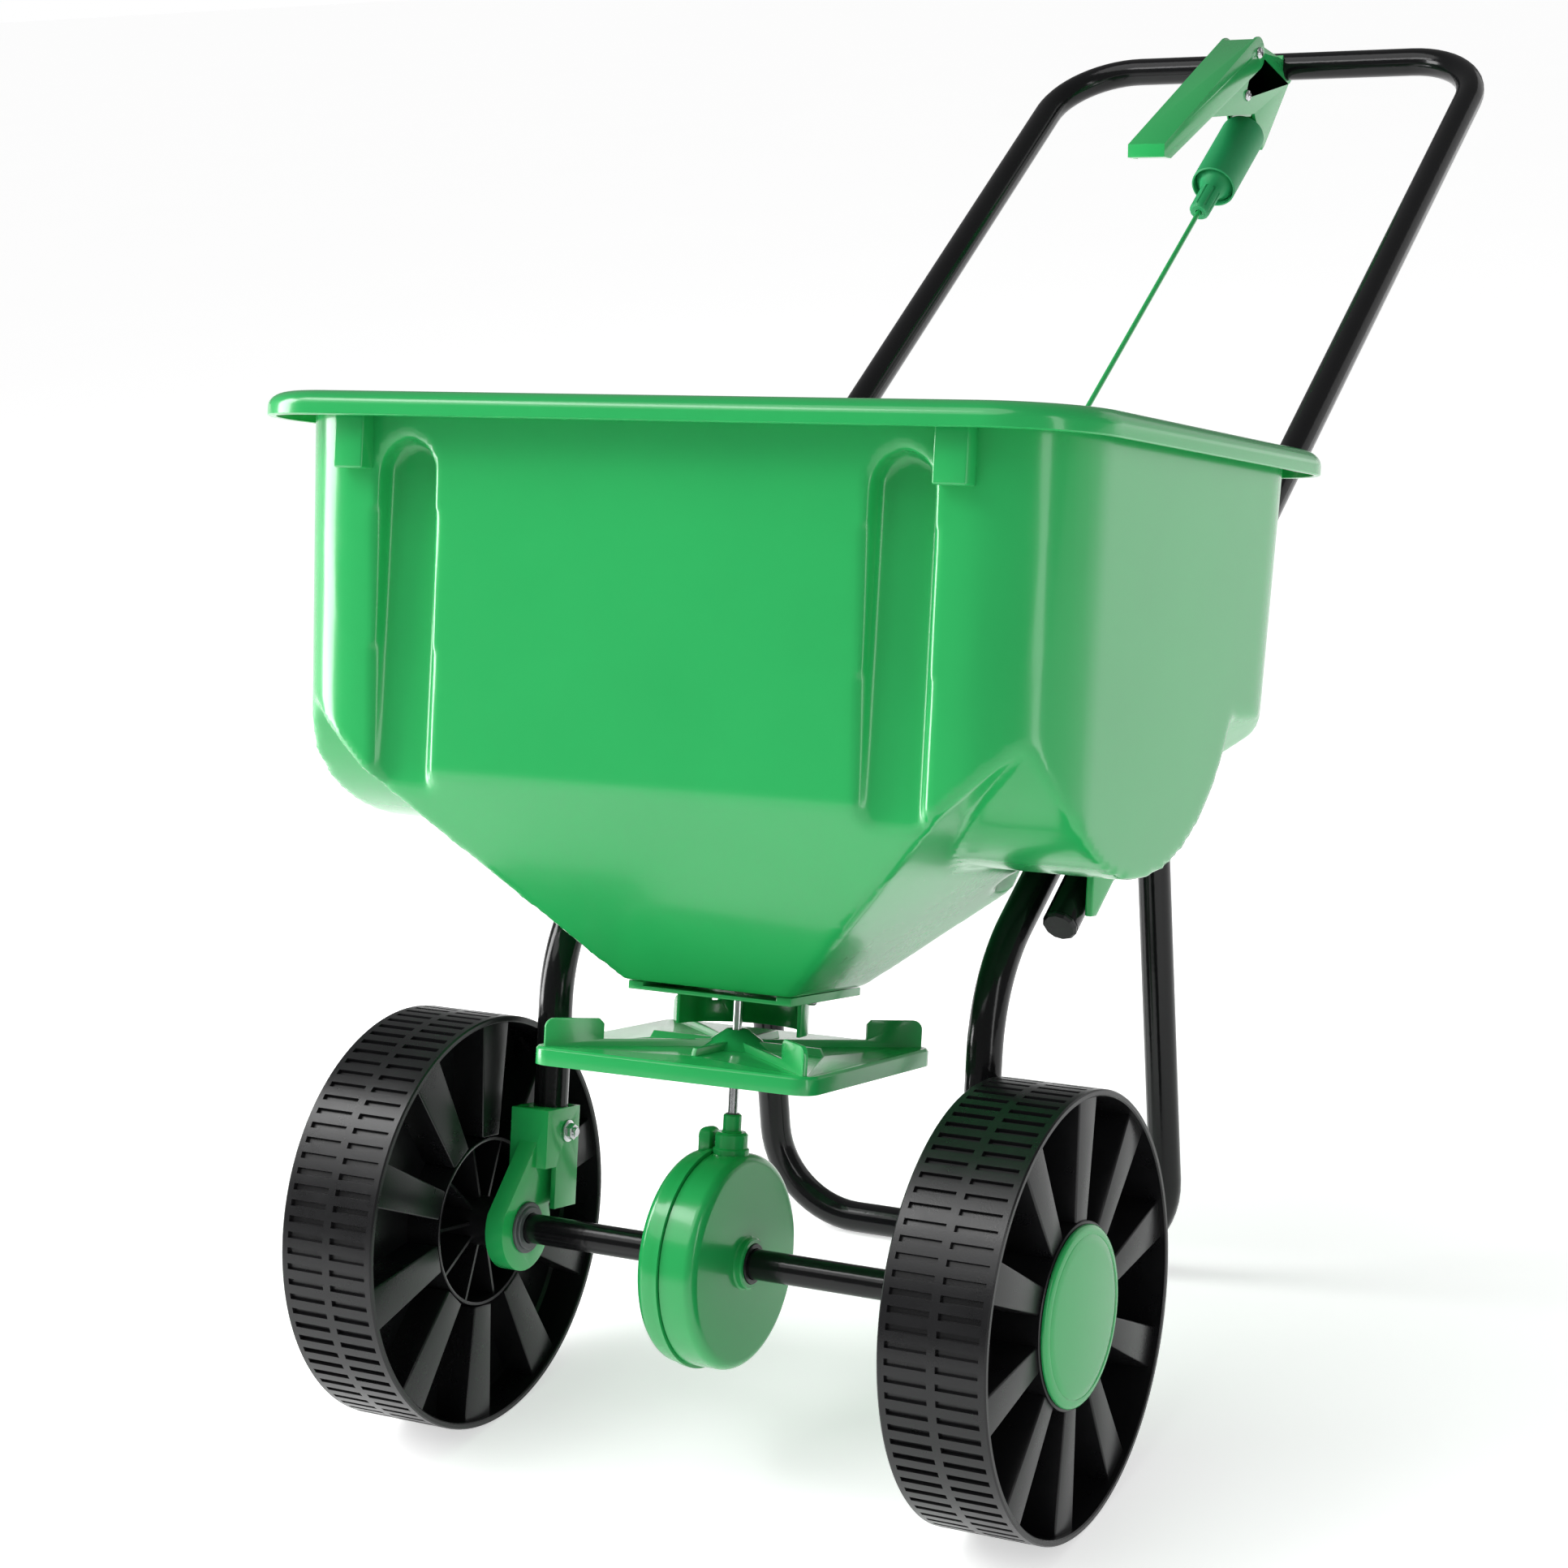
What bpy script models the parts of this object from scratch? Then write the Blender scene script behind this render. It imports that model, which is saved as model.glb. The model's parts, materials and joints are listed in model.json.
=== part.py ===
"""Push broadcast spreader: hopper, tube frame, two wheels, gearbox, impeller and hand control.

Everything is placed in the hopper's own frame: the axle's centre is the origin, +X points to the
operator's left, +Y backwards to the operator and +Z along the impeller shaft. One empty then leans
the whole machine back until both wheels and the stand's bar touch the ground.
"""

from math import asin, atan2, cos, pi, radians, sin, sqrt, tan

import bmesh
import bpy
from mathutils import Matrix, Vector

# Clearances, in metres like every size here
GAP = 0.0003
RUNNING = 0.0004

# Wheels and axle
WHEEL_RADIUS = 0.1335
WHEEL_INNER_X = 0.173
WHEEL_WIDTH = 0.0676
WHEEL_RIM = 0.004
WHEEL_WEB = 0.003
WHEEL_DRUM_RADIUS = 0.056
WHEEL_HUB_RADIUS = 0.016
WHEEL_SPOKES = 10
SPOKE_RIM_WIDTH = 0.0255
SPOKE_DRUM_WIDTH = 0.0165
SPOKE_SINK = 0.004
SPOKE_DRAFT = 0.0018
PIN_RADIUS = 0.002
AXLE_RADIUS = 0.0095
AXLE_WALL = 0.0015
HUB_CAP_DOME = 0.003

# Frame tubes
TUBE_RADIUS = 0.0111
TUBE_WALL = 0.0015
HANDLE_X = 0.182
HANDLE_FOOT = Vector((0.0709, 0.2216))
HANDLE_RISE = radians(40.6)
HANDLE_LENGTH = 1.009
HANDLE_BEND = 0.063
INNER_TUBE_X = 0.1535
LEG_Y = 0.0325
LEG_FOOT_Z = 0.0405
LEG_BEND = 0.1
LEG_LAP = 0.173
STAND_TOP = 0.2434
STAND_TOP_PAST = 0.012
STAND_BAR = Vector((0.3578, -0.0352))
STAND_BEND = 0.063
FRAME_BOLT_AT = 0.071
BOLT_RADIUS = 0.003
NUT_FLATS = 0.0058
NUT_HEIGHT = 0.005

# Hopper
HOPPER_WALL = 0.003
FLOOR_Z = 0.1718
FLOOR_HALF_WIDTH = 0.059
FLOOR_FRONT = -0.0425
FLOOR_BACK = 0.0558
RIM_Z = 0.521
RIM_SKIRT = 0.0155
RIM_SHEET = 0.0035
RIM_OVER_SIDE = 0.0174
RIM_OVER_FRONT = 0.0239
RIM_OVER_BACK = 0.02
WALL_HALF_WIDTH = 0.263
WALL_FRONT = -0.147
WALL_BACK = 0.243
WALL_CORNER = 0.056
SIDE_DRAFT = 0.0146
FRONT_DRAFT = 0.043
BACK_DRAFT = 0.063
FRONT_CREASE_Z = 0.2937
REAR_CREASE_Z = 0.362
SIDE_SLOPE = 1.112
LOBE_RADIUS = 0.143
LOBE_Y = 0.0027
LOBE_Z = 0.4005
CHANNEL_X = 0.1655
CHANNEL_WIDTH = 0.039
CHANNEL_DEPTH = 0.018
CHANNEL_TOP_Z = 0.494
TAB_X = 0.2
TAB_WIDTH = 0.021
TAB_PROUD = 0.01
TAB_FOOT_Z = 0.475
EAR_ROOM = 0.0019
EAR_SHEET = 0.005
GROOVE_INNER_X = 0.13
PORT_X = 0.022
PORT_Y = 0.016
PORT_RADIUS = 0.008

# Drop chute and shut-off plate under the floor
PLATE_SHEET = 0.002
PLATE_HALF_WIDTH = 0.046
CHUTE_SHEET = 0.0025
CHUTE_RADIUS = 0.044
CHUTE_SKIRT_Z = 0.143
SHUTOFF_TRAVEL = 0.0248
HOOK_Y = 0.14
HOOK_Z = 0.207
HOOK_SLOT = 0.0235
BEARING_RADIUS = 0.006
CHUTE_SCREW_X = 0.051
SCREW_RADIUS = 0.0018

# Impeller and its shaft
SHAFT_RADIUS = 0.003
SHAFT_FOOT_Z = 0.044
SHAFT_TOP_Z = 0.196
IMPELLER_HALF = 0.094
IMPELLER_CORNER = 0.013
IMPELLER_TURN = radians(3.3)
IMPELLER_TOP_Z = 0.133
IMPELLER_RIM = 0.011
IMPELLER_SHEET = 0.0025
VANE_HEIGHT = 0.017
VANE_TIP = 0.123
VANE_STEP = 0.086
RIB_HEIGHT = 0.0045
RIB_REACH = 0.06
HUB_TOP_Z = 0.144
IMPELLER_PIN_Z = 0.1245
IMPELLER_PIN_RADIUS = 0.0012
AGITATOR_Z = 0.188

# Gearbox
CASE_RADIUS = 0.067
CASE_WALL = 0.0025
SEAM_X = -0.009
BODY_FACE_X = 0.015
COVER_FACE_X = -0.026
COLLAR_RADIUS = 0.016
COLLAR_PROUD = 0.005
TURRET_RADIUS = 0.01025
TURRET_SHOULDER_Z = 0.08
TURRET_NECK_RADIUS = 0.00575
TURRET_TOP_Z = 0.091
MODULE = 0.002222
PINION_TEETH = 9
CROWN_TEETH = 48
PINION_RADIUS = MODULE * PINION_TEETH / 2
CROWN_RADIUS = MODULE * CROWN_TEETH / 2
TOOTH_OUT = 0.0018
TOOTH_IN = 0.0021
GEAR_FACE = 0.009
CROWN_SHEET = 0.0035
CLAMP_SCREW_Z = 0.0745
SHAFT_BUSH_RADIUS = 0.0042

# Axle brackets
BRACKET_RING = 0.028
BRACKET_INNER_X = 0.147
BRACKET_OUTER_X = 0.160
SOCKET_INNER_X = 0.1395
SOCKET_OUTER_X = 0.1675
SOCKET_TOP_Z = 0.075
BUSH_FLANGE = 0.0164
BUSH_RADIUS = 0.0125
BRACKET_BOLT_Z = 0.0597

# Hand control
LEVER_PIVOT = Vector((0.761, 0.876))
LEVER_DROP = radians(29.6)
LEVER_LENGTH = 0.219
LEVER_WIDTH = 0.03
LEVER_END = 0.013
LEVER_SHEET = 0.0025
CHEEK_SHEET = 0.0025
ROD_RADIUS = 0.002
ROD_LOW = Vector((0.6818, 0.7331))
ROD_PIN = 0.172
NOZZLE_FOOT = 0.007
NOZZLE_RADIUS = 0.0085
SLEEVE_FOOT = 0.044
SLEEVE_LENGTH = 0.0812
SLEEVE_RADIUS = 0.018
SLEEVE_WALL = 0.0016
LEVER_SCREW_RADIUS = 0.002
BRACKET_SCREW = (0.747, 0.8395)

# Worked out from the sizes above
RUN = Vector((cos(HANDLE_RISE), sin(HANDLE_RISE)))
RISE_NORMAL = Vector((-RUN.y, RUN.x))
LEAN = asin((WHEEL_RADIUS - TUBE_RADIUS) / STAND_BAR.length) - atan2(-STAND_BAR.y, STAND_BAR.x)
WHEEL_OUTER_X = WHEEL_INNER_X + WHEEL_WIDTH
SHUT_Z = FLOOR_Z - GAP - PLATE_SHEET / 2
CHUTE_TOP_Z = FLOOR_Z - 2 * GAP - PLATE_SHEET - GAP
HUB_INNER_X = BRACKET_OUTER_X + 0.0015
HUB_OUTER_X = WHEEL_INNER_X + 0.053
WEB_X = WHEEL_INNER_X + 0.03
DRUM_OUTER_X = WHEEL_OUTER_X - 0.0026
WHEEL_PIN_X = HUB_OUTER_X - 0.006
CLIP_X = HUB_OUTER_X + 0.0035
AXLE_END_X = HUB_OUTER_X + 0.007
CROWN_PITCH_X = -PINION_RADIUS
CROWN_FACE_X = CROWN_PITCH_X - TOOTH_IN - GAP
CROWN_BACK_X = CROWN_FACE_X - CROWN_SHEET
CROWN_HUB_X = COVER_FACE_X + CASE_WALL + 0.0008
GEAR_PIN_X = (CROWN_HUB_X + CROWN_BACK_X) / 2
REAR_LUG_Y = CASE_RADIUS + 0.005
RIM_HALF_WIDTH = WALL_HALF_WIDTH + RIM_OVER_SIDE
RIM_FRONT = WALL_FRONT - RIM_OVER_FRONT
RIM_BACK = WALL_BACK + RIM_OVER_BACK
RIM_CORNER = WALL_CORNER + RIM_OVER_BACK
EAR_X = HANDLE_X + TUBE_RADIUS + EAR_ROOM + EAR_SHEET / 2
SIDE_NAME = {1: "left", -1: "right"}

GREEN = (0.02, 0.42, 0.10)
KNOB_GREEN = (0.03, 0.40, 0.16)
BLACK = (0.01, 0.01, 0.011)
STEEL = (0.6, 0.6, 0.6)
GREY = (0.16, 0.17, 0.18)
NYLON = (0.7, 0.68, 0.62)


def clear_scene():
    for obj in list(bpy.data.objects):
        bpy.data.objects.remove(obj)


def material(name, colour, roughness, metallic=0.0):
    made = bpy.data.materials.new(name)
    made.use_nodes = True
    shader = made.node_tree.nodes["Principled BSDF"]
    shader.inputs["Base Color"].default_value = (*colour, 1.0)
    shader.inputs["Roughness"].default_value = roughness
    shader.inputs["Metallic"].default_value = metallic
    return made


def collection(name):
    made = bpy.data.collections.new(name)
    bpy.context.scene.collection.children.link(made)
    return made


clear_scene()
PARTS = collection("garden_spreader")
CUTTERS = collection("cutters")
FINISH = {
    "green": material("green_plastic", GREEN, 0.25),
    "knob": material("knob_plastic", KNOB_GREEN, 0.6),
    "tube": material("black_powder_coat", BLACK, 0.2, 0.3),
    "wheel": material("black_plastic", BLACK, 0.5),
    "steel": material("zinc_steel", STEEL, 0.3, 1.0),
    "grey": material("grey_bush", GREY, 0.5),
    "nylon": material("nylon", NYLON, 0.5),
}


def empty(name, parent, matrix):
    made = bpy.data.objects.new(name, None)
    PARTS.objects.link(made)
    made.parent = parent
    made.matrix_basis = matrix
    return made


def drop(y, z):
    """Where the machine's point (y, z) lies, from the axle, once the machine leans back."""
    return Vector((y * cos(LEAN) + z * sin(LEAN), z * cos(LEAN) - y * sin(LEAN)))


def bar_centre():
    """Centre of the handle's top bar, in (y, z)."""
    return HANDLE_FOOT + RUN * HANDLE_LENGTH


def machine_middle_y():
    """Halfway between the wheels' front and the back of the handle's bar, once leaned."""
    back = drop(*bar_centre()).x + TUBE_RADIUS
    return (back - WHEEL_RADIUS) / 2


STANCE = empty(
    "stance",
    None,
    Matrix.Translation((0, -machine_middle_y(), WHEEL_RADIUS)) @ Matrix.Rotation(-LEAN, 4, "X"),
)
JOINTS = {}


def joint(name, at):
    JOINTS[name] = empty(name, STANCE, Matrix.Translation(at))


def new_object(name, mesh, matrix=None):
    """A working solid, not yet a part: it is a cutter until part() keeps it."""
    made = bpy.data.objects.new(name, mesh)
    CUTTERS.objects.link(made)
    made.parent = STANCE
    made.matrix_basis = matrix or Matrix.Identity(4)
    made.hide_render = True
    made.display_type = "WIRE"
    return made


def part(obj, name, finish, moves_with=None):
    """Keeps a solid as one named piece, on its joint's empty if it moves."""
    obj.name = name
    CUTTERS.objects.unlink(obj)
    PARTS.objects.link(obj)
    obj.hide_render = False
    obj.display_type = "TEXTURED"
    if moves_with:
        anchor = JOINTS[moves_with]
        obj.matrix_basis = anchor.matrix_basis.inverted() @ obj.matrix_basis
        obj.parent = anchor
    obj.data.materials.clear()
    obj.data.materials.append(FINISH[finish])
    if obj.data.polygons:
        obj.data.shade_smooth()
        obj.data.set_sharp_from_angle(angle=radians(35))
    return obj


def boolean(target, others, operation):
    for other in others:
        step = target.modifiers.new(operation.title(), "BOOLEAN")
        step.operation = operation
        step.solver = "EXACT"
        step.object = other
    return target


def cut(target, *others):
    return boolean(target, others, "DIFFERENCE")


def join(target, *others):
    return boolean(target, others, "UNION")


def mesh_of(name, bm):
    bmesh.ops.recalc_face_normals(bm, faces=bm.faces)
    mesh = bpy.data.meshes.new(name)
    bm.to_mesh(mesh)
    bm.free()
    return mesh


def facing(direction):
    return Vector(direction).to_track_quat("Z", "Y").to_matrix().to_4x4()


def block(low, high, name="block"):
    low, high = Vector(low), Vector(high)
    bm = bmesh.new()
    bmesh.ops.create_cube(bm, size=1.0, matrix=Matrix.Diagonal((*(high - low), 1.0)))
    return new_object(name, mesh_of(name, bm), Matrix.Translation((low + high) / 2))


def cylinder(start, end, radius, sides=20, end_radius=None, name="cylinder"):
    start, end = Vector(start), Vector(end)
    bm = bmesh.new()
    bmesh.ops.create_cone(
        bm,
        cap_ends=True,
        segments=sides,
        radius1=radius,
        radius2=radius if end_radius is None else end_radius,
        depth=(end - start).length,
    )
    place = Matrix.Translation((start + end) / 2) @ facing(end - start)
    return new_object(name, mesh_of(name, bm), place)


def turned(profile, origin, axis, steps=20, closed=False, name="turned"):
    """A profile of (radius, height) points, top to bottom, swept once round the axis."""
    mesh = bpy.data.meshes.new(name)
    count = len(profile)
    edges = [(k, k + 1) for k in range(count - 1)]
    if closed:
        edges.append((count - 1, 0))
    mesh.from_pydata([(r, 0.0, h) for r, h in profile], edges, [])
    made = new_object(name, mesh, Matrix.Translation(origin) @ facing(axis))
    sweep = made.modifiers.new("Screw", "SCREW")
    sweep.steps = steps
    sweep.render_steps = steps
    sweep.use_merge_vertices = True
    sweep.merge_threshold = 0.00001
    return made


def ring(inner, outer, start, end, steps=20, name="ring"):
    """A plain bush or washer between two heights on the line from start to end."""
    start, end = Vector(start), Vector(end)
    length = (end - start).length
    corners = [(outer, length), (outer, 0.0), (inner, 0.0), (inner, length)]
    return turned(corners, start, end - start, steps, True, name)


def arc(centre, radius, first, last, steps):
    """Points on an arc, with its angles in degrees."""
    angles = [radians(first + (last - first) * k / steps) for k in range(steps + 1)]
    return [(centre[0] + radius * cos(a), centre[1] + radius * sin(a)) for a in angles]


def plate(outline, thickness, centre, across, up, name="plate"):
    """A flat outline, in its own across and up directions, given a thickness."""
    curve = bpy.data.curves.new(name, "CURVE")
    curve.dimensions = "2D"
    curve.fill_mode = "BOTH"
    curve.extrude = thickness / 2
    spline = curve.splines.new("POLY")
    spline.points.add(len(outline) - 1)
    for point, (a, b) in zip(spline.points, outline):
        point.co = (a, b, 0.0, 1.0)
    spline.use_cyclic_u = True
    across, up = Vector(across).normalized(), Vector(up).normalized()
    turn = Matrix((across, up, across.cross(up))).transposed().to_4x4()
    return meshed(curve, name, Matrix.Translation(centre) @ turn)


def meshed(curve, name, matrix):
    """A curve made a closed mesh, so that it can be cut and joined."""
    drawn = bpy.data.objects.new(name, curve)
    bpy.context.scene.collection.objects.link(drawn)
    bpy.context.view_layer.update()
    graph = bpy.context.evaluated_depsgraph_get()
    mesh = bpy.data.meshes.new_from_object(drawn.evaluated_get(graph))
    bpy.data.objects.remove(drawn)
    bm = bmesh.new()
    bm.from_mesh(mesh)
    bmesh.ops.remove_doubles(bm, verts=bm.verts, dist=0.000001)
    bmesh.ops.recalc_face_normals(bm, faces=bm.faces)
    bm.to_mesh(mesh)
    bm.free()
    return new_object(name, mesh, matrix)


def rounded_route(corners, bend, steps=4):
    """Straight runs between the corners, with a round bend at each one between the ends."""
    corners = [Vector(c) for c in corners]
    route = [corners[0]]
    for before, corner, after in zip(corners, corners[1:], corners[2:]):
        back = (before - corner).normalized()
        on = (after - corner).normalized()
        half = back.angle(on) / 2
        centre = corner + (back + on).normalized() * bend / sin(half)
        start = corner + back * bend / tan(half) - centre
        end = corner + on * bend / tan(half) - centre
        for k in range(steps + 1):
            turn = Matrix.Rotation(start.angle(end) * k / steps, 3, start.cross(end))
            route.append(centre + turn @ start)
    route.append(corners[-1])
    return route


def tube(route, radius, wall=0.0, resolution=4, name="tube"):
    """A bent tube along a route; with no wall thickness it is a solid rod."""
    curve = bpy.data.curves.new(name, "CURVE")
    curve.dimensions = "3D"
    curve.bevel_depth = radius
    curve.bevel_resolution = resolution
    curve.use_fill_caps = not wall
    spline = curve.splines.new("POLY")
    spline.points.add(len(route) - 1)
    for point, at in zip(spline.points, route):
        point.co = (*at, 1.0)
    made = meshed(curve, name, Matrix.Identity(4))
    if wall:
        inside = made.modifiers.new("Solidify", "SOLIDIFY")
        inside.thickness = wall
        inside.offset = -1.0
    return made


def loft(sections, closed=False, name="loft"):
    """Skins sections that have the same number of points; closed joins the last to the first."""
    bm = bmesh.new()
    rows = [[bm.verts.new(point) for point in section] for section in sections]
    pairs = list(zip(rows, rows[1:]))
    if closed:
        pairs.append((rows[-1], rows[0]))
    for lower, upper in pairs:
        count = len(lower)
        for k in range(count):
            after = (k + 1) % count
            bm.faces.new((lower[k], lower[after], upper[after], upper[k]))
    if not closed:
        bm.faces.new(rows[0])
        bm.faces.new(rows[-1])
    return new_object(name, mesh_of(name, bm))


def rounded_section(half_width, front, back, corner, z, steps=6):
    points = []
    for x, y, first in (
        (half_width - corner, back - corner, 0),
        (corner - half_width, back - corner, 90),
        (corner - half_width, front + corner, 180),
        (half_width - corner, front + corner, 270),
    ):
        points += arc((x, y), corner, first, first + 90, steps)
    return [(x, y, z) for x, y in points]


def sided(x, side):
    return x * side


def on_handle(s, x=0.0, off=0.0):
    """A point at s along the handle's line, off it by so much, upwards and forwards."""
    y, z = HANDLE_FOOT + RUN * s + RISE_NORMAL * off
    return Vector((x, y, z))


def on_rod(s, x=0.0, off=0.0):
    y, z = ROD_LOW + RUN * s + RISE_NORMAL * off
    return Vector((x, y, z))


# Hopper ------------------------------------------------------------------------------------------


def wall_at(z, inset):
    """Half width, front and back of the drafted walls at a height."""
    fall = RIM_Z - z
    return (
        WALL_HALF_WIDTH - SIDE_DRAFT * fall - inset,
        WALL_FRONT + FRONT_DRAFT * fall + inset,
        WALL_BACK - BACK_DRAFT * fall - inset,
    )


def walls(inset, top):
    low = FLOOR_Z - 0.02
    rings = [rounded_section(*wall_at(z, inset), WALL_CORNER - inset, z) for z in (low, top)]
    return loft(rings, name="walls")


def slope_edge(at_floor, slope, z, inset):
    return at_floor + slope * (z - FLOOR_Z) - inset * sqrt(1 + slope * slope)


def front_slope():
    return (-wall_at(FRONT_CREASE_Z, 0)[1] + FLOOR_FRONT) / (FRONT_CREASE_Z - FLOOR_Z)


def rear_slope():
    return (wall_at(REAR_CREASE_Z, 0)[2] - FLOOR_BACK) / (REAR_CREASE_Z - FLOOR_Z)


def funnel(inset):
    rings = []
    for z in (FLOOR_Z + inset, RIM_Z + 0.04):
        x = slope_edge(FLOOR_HALF_WIDTH, SIDE_SLOPE, z, inset)
        front = -slope_edge(-FLOOR_FRONT, front_slope(), z, inset)
        back = slope_edge(FLOOR_BACK, rear_slope(), z, inset)
        rings.append([(x, front, z), (x, back, z), (-x, back, z), (-x, front, z)])
    return loft(rings, name="funnel")


def lobes(inset):
    """Half a cylinder right across the hopper, seen as the round bulges at its two sides."""
    radius = LOBE_RADIUS - inset
    outline = arc((LOBE_Y, LOBE_Z), radius, 180, 360, 20)
    outline += [(LOBE_Y + radius, LOBE_Z + 0.02), (LOBE_Y - radius, LOBE_Z + 0.02)]
    return plate(outline, 2.3 * WALL_HALF_WIDTH, (0, 0, 0), (0, 1, 0), (0, 0, 1), "lobes")


def channel(side, grow):
    """The recess down the front wall, round at its top."""
    half = CHANNEL_WIDTH / 2 + grow
    outline = arc((0, CHANNEL_TOP_Z - CHANNEL_WIDTH / 2), half, 0, 180, 8)
    outline += [(-half, FLOOR_Z + 0.05), (half, FLOOR_Z + 0.05)]
    back = WALL_FRONT + CHANNEL_DEPTH + grow
    front = RIM_FRONT - 0.01
    centre = (sided(CHANNEL_X, side), (back + front) / 2, 0)
    return plate(outline, back - front, centre, (1, 0, 0), (0, 0, 1), "channel")


def groove(side, grow):
    """Room for a handle tube and a leg tube, which lie side by side under the hopper."""
    outer = HANDLE_X + TUBE_RADIUS + 2 * GAP + grow
    inner = GROOVE_INNER_X - grow
    top = TUBE_RADIUS + 3 * GAP + grow
    corner = 0.007
    outline = arc((outer - corner, top - corner), corner, 0, 90, 4)
    outline += arc((inner + corner, top - corner), corner, 90, 180, 4)
    outline += [(inner, -0.07), (outer, -0.07)]
    first, last = 0.02 - grow, 0.31
    if side < 0:
        outline = [(-x, y) for x, y in reversed(outline)]
    middle = on_handle((first + last) / 2)
    across = Vector((1, 0, 0))
    up = Vector((0, *RISE_NORMAL))
    return plate(outline, last - first, middle, across, up, "groove")


def ear(side):
    """The cheek beside the handle tube's foot, with a lug for the frame bolt."""
    bolt = on_handle(FRAME_BOLT_AT)
    lug = [(bolt.y - 0.017, bolt.z - 0.0205), (bolt.y + 0.005, bolt.z - 0.016)]
    lug += [(bolt.y + 0.025, bolt.z), (bolt.y + 0.04, bolt.z + 0.022)]
    top = bolt.z + 0.042
    foot = (HANDLE_FOOT.x + 0.005, HANDLE_FOOT.y + 0.0055)
    outline = [foot, (foot[0] + 0.008, foot[1])] + lug + [(bolt.y + 0.04, top), (foot[0], top)]
    centre = (sided(EAR_X, side), 0, 0)
    return plate(outline, EAR_SHEET, centre, (0, 1, 0), (0, 0, 1), "ear")


def rim():
    def ring_at(share, z):
        half, front, back = wall_at(RIM_Z, 0)
        mix = [a + (b - a) * share for a, b in (
            (half, RIM_HALF_WIDTH), (front, RIM_FRONT), (back, RIM_BACK), (WALL_CORNER, RIM_CORNER))]
        return rounded_section(*mix, z)

    sheet = RIM_SHEET / (RIM_HALF_WIDTH - WALL_HALF_WIDTH)
    under = RIM_Z - RIM_SHEET
    foot = RIM_Z - RIM_SKIRT
    rings = [
        ring_at(-0.25, under),
        ring_at(1 - sheet, under),
        ring_at(1 - sheet, foot),
        ring_at(1.0, foot),
        ring_at(1.0, RIM_Z - 0.006),
        ring_at(0.92, RIM_Z - 0.002),
        ring_at(0.72, RIM_Z),
        ring_at(-0.25, RIM_Z),
    ]
    return loft(rings, closed=True, name="rim")


def tab(side):
    x = sided(TAB_X, side)
    half = TAB_WIDTH / 2
    back = wall_at(TAB_FOOT_Z, 0)[1] + 0.001
    front = WALL_FRONT - TAB_PROUD
    return block((x - half, front, TAB_FOOT_Z), (x + half, back, RIM_Z - RIM_SHEET / 2), "tab")


def make_hopper():
    cavity = boolean(walls(HOPPER_WALL, RIM_Z + 0.03), [join(funnel(HOPPER_WALL), lobes(HOPPER_WALL))],
                     "INTERSECT")
    for side in (1, -1):
        cut(cavity, channel(side, HOPPER_WALL), groove(side, HOPPER_WALL))
    body = boolean(walls(0, RIM_Z - RIM_SHEET / 2), [join(funnel(0), lobes(0))], "INTERSECT")
    join(body, rim())
    for side in (1, -1):
        join(body, tab(side), ear(side))
        cut(body, channel(side, 0), groove(side, 0))
    cut(body, cavity)
    low, high = FLOOR_Z - 0.01, FLOOR_Z + 0.02
    cut(body, cylinder((0, 0, low), (0, 0, high), BEARING_RADIUS + GAP, 16))
    for side in (1, -1):
        x = sided(PORT_X, side)
        cut(body, cylinder((x, PORT_Y, low), (x, PORT_Y, high), PORT_RADIUS, 16))
        x = sided(CHUTE_SCREW_X, side)
        cut(body, cylinder((x, 0, low), (x, 0, high), SCREW_RADIUS + GAP, 8))
        bolt = on_handle(FRAME_BOLT_AT)
        ends = [(sided(x, side), bolt.y, bolt.z) for x in (HANDLE_X, EAR_X + 0.02)]
        cut(body, cylinder(*ends, BOLT_RADIUS + GAP, 12))
    part(body, "hopper", "green")


def make_floor_bearing():
    seat = FLOOR_Z + HOPPER_WALL + GAP
    profile = [(0.009, 0.002), (0.009, 0.0), (BEARING_RADIUS, 0.0)]
    profile += [(BEARING_RADIUS, -HOPPER_WALL), (SHAFT_RADIUS + GAP, -HOPPER_WALL)]
    profile += [(SHAFT_RADIUS + GAP, 0.002)]
    part(turned(profile, (0, 0, seat), (0, 0, 1), 16, True), "floor_bearing", "grey")


def make_shutoff_plate():
    """A plate that slides forwards under the floor, with a tab at its back for the rod's hook."""
    low = SHUT_Z - PLATE_SHEET / 2 + GAP / 2
    high = SHUT_Z + PLATE_SHEET / 2 - GAP / 2
    body = block((-PLATE_HALF_WIDTH, -0.012, low), (PLATE_HALF_WIDTH, 0.054, high))
    arm = block((0.0, 0.05, low), (0.014, HOOK_Y + 0.006, high))
    join(body, arm)
    tab_plate = block((0.003, HOOK_Y - 0.006, low), (0.006, HOOK_Y + 0.006, HOOK_Z + 0.008))
    join(body, tab_plate)
    reach = HOOK_SLOT + ROD_RADIUS + 2 * GAP
    hook_cut = plate(
        arc((HOOK_Y, HOOK_Z), ROD_RADIUS + 2 * GAP, 0, 180, 6)
        + arc((HOOK_Y, HOOK_Z - reach + ROD_RADIUS), ROD_RADIUS + 2 * GAP, 180, 360, 6),
        0.02, (0.0045, 0, 0), (0, 1, 0), (0, 0, 1), "hook_cut")
    cut(body, hook_cut)
    slide = SHAFT_RADIUS + 0.0015
    cut(body, block((-slide, -0.02, low - 0.01), (slide, SHUTOFF_TRAVEL + 0.006, high + 0.01)))
    for side in (1, -1):
        x = sided(PORT_X, side)
        y = PORT_Y + SHUTOFF_TRAVEL
        cut(body, cylinder((x, y, low - 0.01), (x, y, high + 0.01), PORT_RADIUS, 16))
    part(body, "shutoff_plate", "green", "shutoff_slide")


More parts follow.
